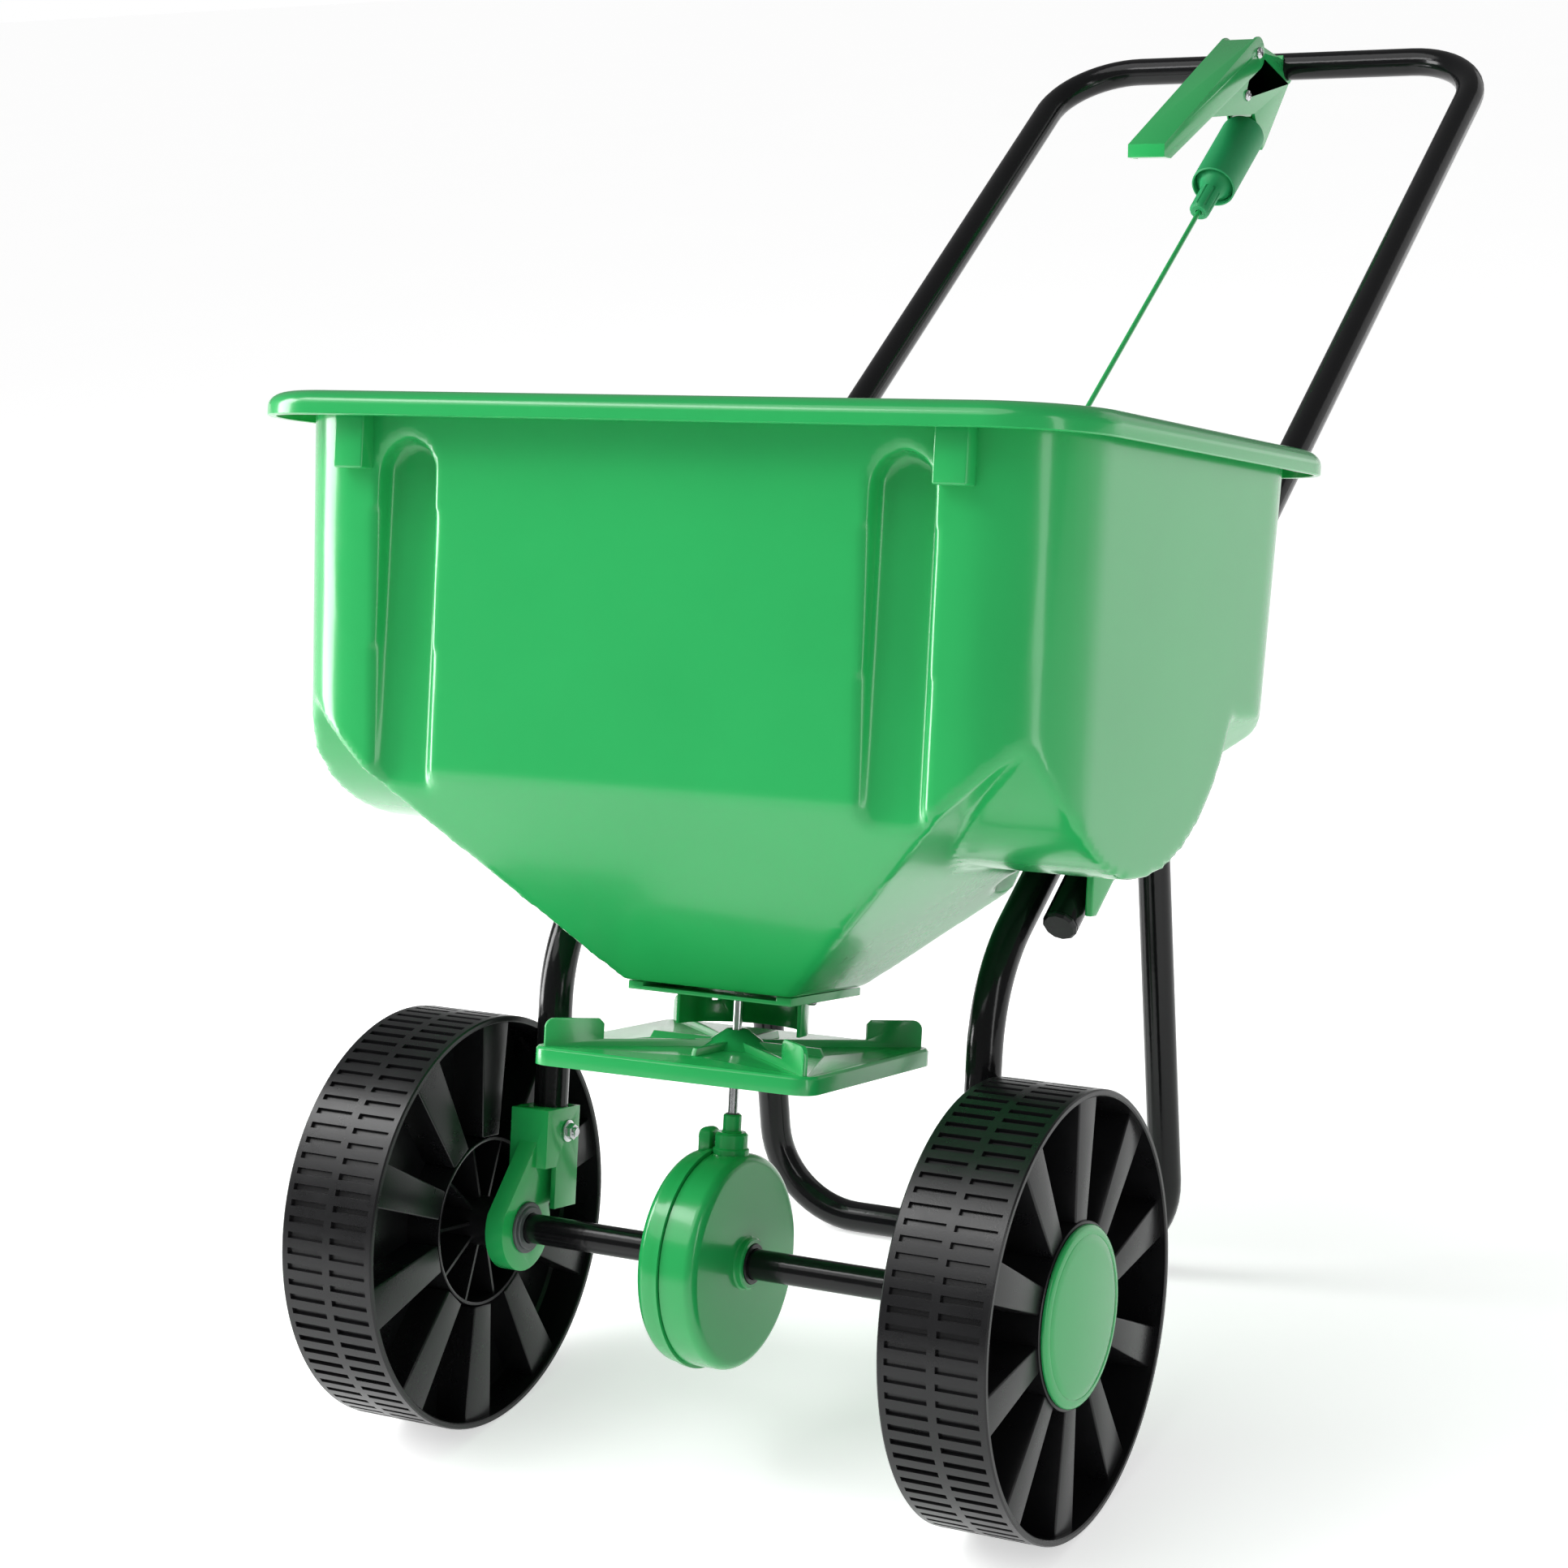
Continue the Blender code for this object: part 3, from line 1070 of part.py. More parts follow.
def make_lever():
    half = LEVER_WIDTH / 2
    inner = half - LEVER_SHEET
    end = [lever_point(LEVER_END * cos(radians(a)), LEVER_END * sin(radians(a)))
           for a in range(90, 271, 20)]
    outline = end + [lever_point(*p) for p in (
        (LEVER_LENGTH - 0.012, -0.010), (LEVER_LENGTH, -0.004), (LEVER_LENGTH - 0.004, 0.005))]
    channel_top = LEVER_END - LEVER_SHEET
    hollow = [lever_point(*p) for p in (
        (0.003, 0.03), (0.003, channel_top), (LEVER_LENGTH - 0.008, 0.0025),
        (LEVER_LENGTH - 0.008, -0.03), (-0.03, -0.03), (-0.03, 0.03))]
    lever = cut(across_x(outline, -half, half, "lever"), across_x(hollow, -inner, inner, "hollow"))
    y, z = LEVER_PIVOT
    cheek_in = inner - GAP - CHEEK_SHEET
    barrel = cheek_in - GAP
    pin = on_rod(ROD_PIN)
    arm = Vector((pin.y, pin.z)) - LEVER_PIVOT
    direction, square = arm.normalized(), Vector((-arm.y, arm.x)).normalized()

    def arm_point(along, wide):
        return tuple(LEVER_PIVOT + direction * along + square * wide)

    crank = [arm_point(0, -0.006), arm_point(arm.length, -0.006)]
    crank += [arm_point(arm.length + 0.003 + 0.005 * cos(radians(a)), 0.006 * sin(radians(a)))
              for a in range(-60, 61, 30)]
    crank += [arm_point(arm.length, 0.006), arm_point(0, 0.006)]
    arm_x = (ROD_RADIUS + 0.001, ROD_RADIUS + 0.004)
    hub = join(cylinder((-barrel, y, z), (barrel, y, z), 0.007, 16),
               across_x(crank, *arm_x, "crank"))
    corners = ((-1, -0.6), (-0.6, -1), (0.6, -1), (1, -0.6), (1, 0.6), (0.6, 1), (-0.6, 1), (-1, 0.6))
    slot = [arm_point(arm.length - 0.0015 + a * 0.0062, b * 0.0029) for a, b in corners]
    cut(hub, across_x(slot, -0.01, 0.02, "slot"))
    tie = [lever_point(0.0045, -0.003), lever_point(0.0045, channel_top + 0.001),
           lever_point(0.016, channel_top + 0.0003), lever_point(0.011, -0.003)]
    join(lever, join(hub, across_x(tie, -barrel, barrel, "tie")))
    cut(lever, cylinder((-0.03, y, z), (0.03, y, z), LEVER_SCREW_RADIUS + GAP, 12))
    part(lever, "control_lever", "green", "lever_hinge")
    screw("lever_pivot_screw", half + GAP, -half - GAP - 0.001, y, z)


def screw(name, head_x, end_x, y, z):
    length = head_x - end_x
    profile = [(0.0, 0.0028), (0.003, 0.0024), (0.0043, 0.0012), (0.0046, 0.0)]
    profile += [(LEVER_SCREW_RADIUS, 0.0), (LEVER_SCREW_RADIUS, -length), (0.0, -length)]
    return part(turned(profile, (head_x, y, z), (1, 0, 0), 12), name, "steel")


def make_control_bracket():
    """Two cheeks, a saddle that clips under the handle's bar and a web that holds the nozzle."""
    outer = LEVER_WIDTH / 2 - LEVER_SHEET - GAP
    inner = outer - CHEEK_SHEET
    bar = bar_centre()
    seat = TUBE_RADIUS + GAP
    saddle = arc(bar, seat, 150, 350, 12) + arc(bar, seat + 0.003, 350, 150, 12)
    bracket = across_x(saddle, -outer, outer, "saddle")
    web_at = SLEEVE_FOOT + SLEEVE_LENGTH + 0.0008
    low = on_rod(web_at, 0, -0.017)
    rear = on_rod(web_at + 0.006, 0, -0.017)
    front = lever_point(0.1214, -0.0093)
    heel = on_rod(web_at, 0, 0.017)
    pivot = LEVER_PIVOT
    lug = [(pivot.x + 0.009 * cos(radians(a)), pivot.y + 0.009 * sin(radians(a))) for a in range(80, 141, 20)]
    cheek = [front, (heel.y, heel.z), (low.y, low.z), (rear.y, rear.z)]
    cheek += [(bar.x + (seat + 0.0015) * cos(radians(a)), bar.y + (seat + 0.0015) * sin(radians(a)))
              for a in (300, 270, 240, 210, 180, 165)]
    cheek += lug
    for side in (1, -1):
        join(bracket, across_x(cheek, sided(inner, side), sided(outer, side), "cheek"))
    web_low, web_high = web_at + 0.0005, web_at + 0.0035
    web = [(web_low, -0.016), (web_low, 0.0125), (web_high, 0.0125), (web_high, -0.016)]
    web = [tuple(on_rod(s, 0, off).yz) for s, off in web]
    join(bracket, across_x(web, -inner - 0.001, inner + 0.001, "web"))
    cut(bracket, cylinder(on_rod(web_at - 0.02), on_rod(web_at + 0.02), ROD_RADIUS + 2 * GAP, 12))
    y, z = pivot
    cut(bracket, cylinder((-0.03, y, z), (0.03, y, z), LEVER_SCREW_RADIUS + GAP, 12))
    y, z = BRACKET_SCREW
    cut(bracket, cylinder((-0.03, y, z), (0.03, y, z), LEVER_SCREW_RADIUS + GAP, 12))
    part(bracket, "control_bracket", "green")
    screw("bracket_screw", outer + GAP, -outer - 0.003, y, z)


def make_rate_control():
    """The fluted nozzle that guides the rod, and the sleeve that turns on it."""
    top = SLEEVE_FOOT + SLEEVE_LENGTH
    bore = ROD_RADIUS + 2 * GAP
    inside = SLEEVE_RADIUS - SLEEVE_WALL
    collar = inside - RUNNING
    profile = [
        (0.0065, top + 0.0004), (0.0065, SLEEVE_FOOT + 0.016), (collar, SLEEVE_FOOT + 0.014),
        (collar, SLEEVE_FOOT + 0.006), (collar - 0.002, SLEEVE_FOOT + 0.003),
        (NOZZLE_RADIUS, SLEEVE_FOOT - 0.003), (NOZZLE_RADIUS, NOZZLE_FOOT + 0.002),
        (NOZZLE_RADIUS - 0.002, NOZZLE_FOOT), (bore, NOZZLE_FOOT), (bore, top + 0.0004),
    ]
    nozzle = turned(profile, on_rod(0), (0, *RUN), 20, True)
    part(nozzle, "rate_nozzle", "knob")
    profile = [
        (SLEEVE_RADIUS - 0.003, top), (SLEEVE_RADIUS, top - 0.003), (SLEEVE_RADIUS, SLEEVE_FOOT + 0.001),
        (SLEEVE_RADIUS - 0.0006, SLEEVE_FOOT), (inside, SLEEVE_FOOT), (inside, top - 0.003),
        (0.0065 + RUNNING, top - 0.003), (0.0065 + RUNNING, top),
    ]
    sleeve = turned(profile, on_rod(0), (0, *RUN), 24, True)
    part(sleeve, "rate_sleeve", "knob", "sleeve_turn")


def make_rod():
    """Thin rod from the lever's crank to the shut-off plate, bent to clear the hopper's back."""
    hook = 0.009
    bend = on_rod(-0.553)
    crank_end = on_rod(ROD_PIN)
    upper = rounded_route([Vector((hook, crank_end.y, crank_end.z)), crank_end, bend,
                           Vector((0, HOOK_Y, HOOK_Z)), Vector((hook, HOOK_Y, HOOK_Z))], 0.003, 4)
    part(tube(upper, ROD_RADIUS, 0, 2), "control_rod", "green", "rod_slide")


def make_joints():
    joint("axle_spin", (0, 0, 0))
    joint("free_wheel_spin", (0, 0, 0))
    joint("impeller_spin", (0, 0, 0))
    joint("lever_hinge", (0, *LEVER_PIVOT))
    joint("rod_slide", on_rod(0))
    joint("shutoff_slide", (0, 0, SHUT_Z))
    joint("sleeve_turn", on_rod(0))


def main():
    make_joints()
    make_hopper()
    make_floor_bearing()
    make_shutoff_plate()
    make_drop_chute()
    make_frame()
    for side in (1, -1):
        make_bracket(side)
    make_wheel(1, "drive_wheel", "axle_spin")
    make_wheel(-1, "free_wheel", "free_wheel_spin")
    make_axle()
    make_crown_gear()
    make_pinion()
    make_gearbox()
    make_impeller()
    make_lever()
    make_control_bracket()
    make_rate_control()
    make_rod()


main()
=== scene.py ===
"""Looks of a push broadcast spreader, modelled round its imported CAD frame."""

import json
from math import atan2, cos, pi, radians, sin

import bmesh
import bpy
from mathutils import Matrix, Vector

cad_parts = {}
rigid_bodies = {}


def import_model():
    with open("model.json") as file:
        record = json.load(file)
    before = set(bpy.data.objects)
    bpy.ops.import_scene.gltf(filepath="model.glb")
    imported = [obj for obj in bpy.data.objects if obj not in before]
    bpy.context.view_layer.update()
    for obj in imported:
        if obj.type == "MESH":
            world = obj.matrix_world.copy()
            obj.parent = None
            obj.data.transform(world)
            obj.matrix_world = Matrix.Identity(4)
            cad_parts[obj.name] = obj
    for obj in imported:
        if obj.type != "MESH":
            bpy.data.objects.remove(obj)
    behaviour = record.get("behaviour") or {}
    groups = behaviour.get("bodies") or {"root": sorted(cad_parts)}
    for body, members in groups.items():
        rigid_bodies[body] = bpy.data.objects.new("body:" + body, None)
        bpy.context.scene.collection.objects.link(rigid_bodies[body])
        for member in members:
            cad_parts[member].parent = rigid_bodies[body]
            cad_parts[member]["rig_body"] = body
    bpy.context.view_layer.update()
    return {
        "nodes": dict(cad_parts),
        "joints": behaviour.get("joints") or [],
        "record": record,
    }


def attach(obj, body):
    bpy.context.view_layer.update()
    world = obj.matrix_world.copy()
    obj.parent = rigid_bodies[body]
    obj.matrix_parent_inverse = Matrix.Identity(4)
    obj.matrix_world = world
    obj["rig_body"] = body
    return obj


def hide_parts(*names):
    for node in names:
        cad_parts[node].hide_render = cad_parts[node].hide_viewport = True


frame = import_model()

bl_info = {
    "name": "Garden Spreader",
    "version": (1, 0, 0),
    "blender": (4, 5, 0),
    "location": "3D View > Sidebar > Spreader",
    "description": "Models the finished surfaces of a push broadcast spreader",
    "category": "Object",
}

# Where the machine stands: its own frame has the axle's middle as origin and +Z along the shaft
JOINT = {joint["name"]: joint for joint in frame["joints"]}
SHAFT_UP = Vector(JOINT["impeller_spin"]["axis"])
LEAN = atan2(SHAFT_UP.y, SHAFT_UP.z)
STANCE = Matrix.Translation(JOINT["axle_spin"]["pos_m"]) @ Matrix.Rotation(-LEAN, 4, "X")
UPRIGHT = STANCE.inverted()


def span(node):
    """A CAD node's lowest and highest corners in the machine's own frame."""
    points = [UPRIGHT @ vertex.co for vertex in frame["nodes"][node].data.vertices]
    low = Vector([min(p[k] for p in points) for k in range(3)])
    high = Vector([max(p[k] for p in points) for k in range(3)])
    return low, high


# Wheels
WHEEL_RADIUS = span("drive_wheel")[1].z
WHEEL_OUTER_X = span("drive_wheel")[1].x
WHEEL_WIDTH = 0.0676
WHEEL_INNER_X = WHEEL_OUTER_X - WHEEL_WIDTH
WHEEL_RIM = 0.004
WHEEL_WEB = 0.003
BAND_WIDTH = 0.0043
BAND_INSET = 0.001
MIDDLE_BAND = 0.0022
RIM_EDGE = 0.0008
WEB_FILLET = 0.002
BORE_ROOM = 0.0004
WEB_X = WHEEL_INNER_X + 0.03
DRUM_RADIUS = 0.056
DRUM_FACE_X = WHEEL_OUTER_X - 0.0026
HUB_RADIUS = 0.016
HUB_INNER_X = span("drive_wheel")[0].x
HUB_OUTER_X = WHEEL_INNER_X + 0.053
SPOKE_SINK = 0.004
SPOKE_RIM_WIDTH = 0.0255
SPOKE_DRUM_WIDTH = 0.0165
SPOKE_FLARE = 1.14
AXLE_RADIUS = span("axle")[1].z

# Frame tubes
TUBE_RADIUS = 0.0111
TUBE_WALL = 0.0015
HANDLE_X = 0.182
HANDLE_FOOT = Vector((0.0709, 0.2216))
HANDLE_RISE = radians(40.6)
HANDLE_LENGTH = 1.009
HANDLE_BEND = 0.063
INNER_TUBE_X = 0.1535
LEG_Y = 0.0325
LEG_FOOT_Z = 0.0405
LEG_BEND = 0.1
LEG_LAP = 0.173
STAND_TOP = 0.2434
STAND_TOP_PAST = 0.012
STAND_BAR = Vector((0.3578, -0.0352))
STAND_BEND = 0.063
RUN = Vector((cos(HANDLE_RISE), sin(HANDLE_RISE)))
RISE_NORMAL = Vector((-RUN.y, RUN.x))

# Hopper
HOPPER_WALL = 0.003
FLOOR_Z = 0.1718
FLOOR_HALF_WIDTH = 0.059
FLOOR_FRONT = -0.0425
FLOOR_BACK = 0.0558
RIM_Z = span("hopper")[1].z
RIM_SKIRT = 0.0155
RIM_SHEET = 0.0035
RIM_ROUND = 0.0095
RIM_HALF_WIDTH = span("hopper")[1].x
RIM_FRONT = span("hopper")[0].y
RIM_BACK = span("hopper")[1].y
WALL_HALF_WIDTH = 0.263
WALL_FRONT = -0.147
WALL_BACK = 0.243
WALL_CORNER = 0.056
SIDE_DRAFT = 0.0146
FRONT_DRAFT = 0.043
BACK_DRAFT = 0.063
FRONT_CREASE_Z = 0.2937
REAR_CREASE_Z = 0.362
SIDE_SLOPE = 1.112
LOBE_RADIUS = 0.143
LOBE_Y = 0.0027
LOBE_Z = 0.4005
CHANNEL_X = 0.1655
CHANNEL_WIDTH = 0.039
CHANNEL_DEPTH = 0.018
CHANNEL_TOP_Z = 0.494
TAB_X = 0.2
TAB_WIDTH = 0.021
TAB_PROUD = 0.01
TAB_FOOT_Z = 0.475
EAR_X = 0.1975
EAR_SHEET = 0.005
GROOVE_INNER_X = 0.13
BOLT_AT = 0.071
PORT_X = 0.022
PORT_Y = 0.016
PORT_RADIUS = 0.008
BEARING_HOLE = 0.0063
KEPT_FACES = 0.7

# Gearbox and shaft
CASE_RADIUS = 0.067
SEAM_X = -0.009
BODY_FACE_X = 0.015
COVER_FACE_X = -0.026
CASE_WALL = 0.0025
COLLAR_RADIUS = 0.016
COLLAR_PROUD = 0.005
BUSH_SEAT = 0.0128
TURRET_RADIUS = 0.01025
TURRET_SHOULDER_Z = 0.08
TURRET_NECK_RADIUS = 0.00575
TURRET_TOP_Z = 0.091
SHAFT_RADIUS = 0.003
TURRET_BORE = 0.0045
CASE_EDGE = 0.007
LUG_HALF = 0.006

# Hand control
ROD_LOW = Vector((0.6818, 0.7331))
ROD_RADIUS = 0.002
ROD_PIN = 0.172
ROD_BEND_AT = -0.553
HOOK_AT = (0.14, 0.207)
NOZZLE_FOOT = 0.007
NOZZLE_RADIUS = 0.0085
SLEEVE_FOOT = 0.044
SLEEVE_LENGTH = 0.0812
SLEEVE_RADIUS = 0.018
SLEEVE_WALL = 0.0016

# Fasteners
BOLT_RADIUS = 0.003
BOLT_HEAD = 0.0058
BOLT_HEAD_TALL = 0.0034
NUT_FLATS = 0.0054
SCREW_RADIUS = 0.002
SCREW_HEAD = 0.0046
SCREW_HEAD_TALL = 0.0028
BUSH_RADIUS = 0.0125
BUSH_FLANGE = 0.0164

# Meshes
NO_RADIUS = 0.00001
MERGE_WITHIN = 0.00001

# Stage; the camera is in the machine's own frame and its place is in wheel radii
FLOOR_GLOW = 0.56
ROOM_LIGHT = 0.2
SUN_FROM = (-0.35, -0.55, 1.0)
SUN_SPREAD = 50
SUN_POWER = 1.1
SOFTBOXES = (
    ("left_box", (-2.2, -0.95, 0.9), (0, 0, 0.4), (0.9, 2.4), 72),
    ("right_box", (2.1, -1.25, 0.9), (0, 0, 0.4), (0.4, 2.2), 10),
    ("back_box", (1.6, 3.0, 1.3), (0, 0, 0.4), (2.6, 2.4), 12),
    ("high_box", (-1.35, -1.3, 2.4), (0, 0, 0.5), (1.5, 0.5), 14),
)
LENS = 74.16
EYE = Vector((7.21, -13.011, 2.982))
LOOK = Vector((-0.475, 0.879, -0.051))
LOOK_RIGHT = Vector((0.877, 0.477, 0.052))


# ---- Settings ----


class SpreaderFinish(bpy.types.PropertyGroup):
    green: bpy.props.FloatVectorProperty(
        name="Plastic", description="Colour of the glossy mouldings",
        subtype="COLOR", size=3, default=(0.02, 0.38, 0.095), min=0, max=1)
    knob: bpy.props.FloatVectorProperty(
        name="Knob", description="Colour of the matt sleeve and its nozzle",
        subtype="COLOR", size=3, default=(0.012, 0.30, 0.10), min=0, max=1)
    black: bpy.props.FloatVectorProperty(
        name="Black", description="Colour of the coated tubes and of the wheels",
        subtype="COLOR", size=3, default=(0.0045, 0.0045, 0.005), min=0, max=1)


class SpreaderWheels(bpy.types.PropertyGroup):
    slots: bpy.props.IntProperty(
        name="Tread slots", description="Slots in each of the tread's two rows", default=84, min=12)
    slot_depth: bpy.props.FloatProperty(
        name="Slot depth", description="How deep a tread slot is", default=0.0024,
        unit="LENGTH", min=0.0005, max=0.003)
    spokes: bpy.props.IntProperty(
        name="Spokes", description="Spokes on each face of a wheel", default=10, min=3)


class SpreaderHopper(bpy.types.PropertyGroup):
    grain: bpy.props.FloatProperty(
        name="Surface grid", description="Grid of the hopper's smoothed surface", default=0.0036,
        unit="LENGTH", min=0.002, max=0.01)
    softness: bpy.props.IntProperty(
        name="Softness", description="How many times the hopper's edges are smoothed", default=5,
        min=0, max=40)


def settings(name):
    return getattr(bpy.context.scene, name)


# ---- Finishes ----


class Value:
    """A shader socket that can be used in sums with numbers and other sockets."""

    def __init__(self, finish, socket):
        self.finish = finish
        self.socket = socket

    def sum(self, operation, first, second):
        values = {0: first, 1: second}
        return self.finish.node("ShaderNodeMath", {"operation": operation}, values)[0]

    def __add__(self, other):
        return self.sum("ADD", self, other)

    def __mul__(self, other):
        return self.sum("MULTIPLY", self, other)

    __radd__ = __add__
    __rmul__ = __mul__


class Finish:
    """One procedural material, drawn with nodes round its Principled shader."""

    def __init__(self, name):
        self.material = bpy.data.materials.new(name)
        self.material.use_nodes = True
        self.tree = self.material.node_tree
        self.shader = self.tree.nodes["Principled BSDF"]

    def node(self, kind, choices, values):
        """A node's outputs, by number; choices are its settings and values fill its sockets."""
        made = self.tree.nodes.new(kind)
        for key, choice in choices.items():
            setattr(made, key, choice)
        for key, value in values.items():
            self.fill(made.inputs[key], value)
        return [Value(self, socket) for socket in made.outputs]

    def fill(self, socket, value):
        if isinstance(value, Value):
            self.tree.links.new(value.socket, socket)
        else:
            socket.default_value = value

    def set(self, **values):
        for key, value in values.items():
            self.fill(self.shader.inputs[key.replace("_", " ")], value)

    def place(self):
        return self.node("ShaderNodeTexCoord", {}, {})[3]

    def noise(self, scale, detail=3.0, roughness=0.5):
        values = {"Vector": self.place(), "Scale": scale, "Detail": detail, "Roughness": roughness}
        return self.node("ShaderNodeTexNoise", {}, values)[0]

    def tint(self, amount, dark, light):
        values = {0: amount, 6: (*dark, 1.0), 7: (*light, 1.0)}
        return self.node("ShaderNodeMix", {"data_type": "RGBA"}, values)[2]

    def bump(self, height, distance, strength=1.0):
        values = {"Height": height, "Distance": distance, "Strength": strength}
        return self.node("ShaderNodeBump", {}, values)[0]


def shade(colour, factor):
    return tuple(min(1.0, part * factor) for part in colour)


def glossy_plastic():
    """Injection-moulded polypropylene: a faint flow pattern, a slight orange peel, a wax gloss."""
    made = Finish("green_plastic")
    colour = settings("spreader_finish").green
    flow = made.noise(9.0, 2.0)
    peel = made.noise(420.0, 2.0)
    dust = made.noise(60.0, 5.0, 0.65)
    made.set(Base_Color=made.tint(flow, shade(colour, 0.93), shade(colour, 1.07)),
             Roughness=0.17 + dust * 0.1, IOR=1.44, Coat_Weight=0.3, Coat_Roughness=0.1,
             Normal=made.bump(peel, 0.00005, 0.4))
    return made.material


def matt_plastic():
    made = Finish("knob_plastic")
    colour = settings("spreader_finish").knob
    grain = made.noise(1100.0, 2.0)
    made.set(Base_Color=made.tint(made.noise(14.0), shade(colour, 0.92), shade(colour, 1.08)),
             Roughness=0.46 + made.noise(90.0, 4.0) * 0.12,
             Normal=made.bump(grain, 0.00006, 0.6))
    return made.material


def powder_coat():
    """Gloss black powder coat, with the slow ripple of a stoved finish."""
    made = Finish("black_coat")
    colour = settings("spreader_finish").black
    ripple = made.noise(260.0, 1.0)
    made.set(Base_Color=made.tint(made.noise(20.0), colour, shade(colour, 1.5)),
             Roughness=0.09 + made.noise(45.0, 5.0, 0.6) * 0.12, Specular_IOR_Level=0.3,
             Normal=made.bump(ripple, 0.00012, 0.5))
    return made.material


def wheel_plastic():
    """Satin black plastic with a fine moulded grain, worn a little paler in patches."""
    made = Finish("black_plastic")
    colour = settings("spreader_finish").black
    wear = made.noise(34.0, 6.0, 0.62)
    grain = made.noise(900.0, 2.0)
    made.set(Base_Color=made.tint(wear, colour, shade(colour, 2.2)),
             Roughness=0.2 + wear * 0.18, Specular_IOR_Level=0.38,
             Normal=made.bump(grain, 0.00008, 0.5))
    return made.material


def zinc_steel():
    made = Finish("zinc_steel")
    spangle = made.noise(240.0, 4.0, 0.6)
    made.set(Base_Color=made.tint(spangle, (0.52, 0.53, 0.55), (0.78, 0.78, 0.79)), Metallic=1.0,
             Roughness=0.16 + spangle * 0.16,
             Normal=made.bump(made.noise(1500.0, 2.0), 0.00003, 0.5))
    return made.material


def grey_bush():
    made = Finish("grey_bush")
    cloud = made.noise(70.0, 4.0)
    made.set(Base_Color=made.tint(cloud, (0.055, 0.058, 0.063), (0.085, 0.088, 0.095)),
             Roughness=0.34 + cloud * 0.16,
             Normal=made.bump(made.noise(1000.0, 2.0), 0.00005, 0.5))
    return made.material


def nylon():
    made = Finish("nylon")
    cloud = made.noise(40.0, 3.0)
    made.set(Base_Color=made.tint(cloud, (0.62, 0.6, 0.52), (0.74, 0.72, 0.65)),
             Roughness=0.36 + cloud * 0.12,
             Normal=made.bump(made.noise(700.0, 2.0), 0.00006, 0.5))
    return made.material


MAKERS = {
    "green_plastic": glossy_plastic,
    "knob_plastic": matt_plastic,
    "black_coat": powder_coat,
    "black_plastic": wheel_plastic,
    "zinc_steel": zinc_steel,
    "grey_bush": grey_bush,
    "nylon": nylon,
}
PAINT = {}


def paint(obj, finish):
    if finish not in PAINT:
        PAINT[finish] = MAKERS[finish]()
    obj.data.materials.clear()
    obj.data.materials.append(PAINT[finish])


# ---- Modelling ----

def alone(obj):
    """Selects only this object and makes it the active one."""
    bpy.ops.object.select_all(action="DESELECT")
    obj.select_set(True)
    bpy.context.view_layer.objects.active = obj
    return obj


def primitive(kind, name, **choices):
    """A new primitive under its own name, with nothing else selected."""
    bpy.ops.object.select_all(action="DESELECT")
    getattr(bpy.ops.mesh, "primitive_" + kind + "_add")(**choices)
    obj = bpy.context.object
    obj.name = name
    return obj


def linked(name, data):
    """A new object with this data, linked to the scene."""
    obj = bpy.data.objects.new(name, data)
    bpy.context.scene.collection.objects.link(obj)
    return obj


def edit(obj, choose=None):
    """Edit mode with everything selected, or the faces that choose(centre, normal) picks."""
    alone(obj)
    bpy.ops.object.mode_set(mode="EDIT")
    bpy.ops.mesh.select_mode(type="FACE")
    bpy.ops.mesh.select_all(action="DESELECT" if choose else "SELECT")
    if choose:
        mesh = bmesh.from_edit_mesh(obj.data)
        for face in mesh.faces:
            face.select_set(choose(face.calc_center_median(), face.normal))
        mesh.select_flush_mode()
        bmesh.update_edit_mesh(obj.data)


def done():
    bpy.ops.object.mode_set(mode="OBJECT")


def tidy(obj):
    """Merges doubles and turns every face outwards."""
    edit(obj)
    bpy.ops.mesh.remove_doubles(threshold=MERGE_WITHIN)
    bpy.ops.mesh.normals_make_consistent(inside=False)
    done()
    return obj


def settle(obj, matrix=None):
    """Applies the object's place, so that it sits at the origin with its place in its mesh."""
    if matrix is not None:
        obj.matrix_world = matrix @ obj.matrix_world
    alone(obj)
    bpy.ops.object.transform_apply(location=True, rotation=True, scale=True)
    return obj


def facing(direction):
    return Vector(direction).to_track_quat("Z", "Y").to_matrix().to_4x4()


def applied(obj, kind, **choices):
    """Adds a modifier, sets it and applies it."""
    alone(obj)
    step = obj.modifiers.new(kind.title(), kind)
    for key, value in choices.items():
        setattr(step, key, value)
    bpy.ops.object.modifier_apply(modifier=step.name)
    return obj


def combine(obj, others, operation):
    for other in others:
        applied(obj, "BOOLEAN", operation=operation, solver="EXACT", object=other)
        bpy.data.objects.remove(other)
    return obj


def cut(obj, *others):
    return combine(obj, others, "DIFFERENCE")


def unite(obj, *others):
    return combine(obj, others, "UNION")


def joined(obj, *others):
    """Several solids as one object."""
    alone(obj)
    for other in others:
        other.select_set(True)
    bpy.ops.object.join()
    return obj


def softened(obj, width, segments=2, angle=28):
    applied(obj, "BEVEL", width=width, segments=segments, limit_method="ANGLE",
            angle_limit=radians(angle), miter_outer="MITER_ARC", use_clamp_overlap=True)
    return smooth(obj, 38)


def smooth(obj, angle=35):
    alone(obj)
    bpy.ops.object.shade_smooth_by_angle(angle=radians(angle))
    return obj


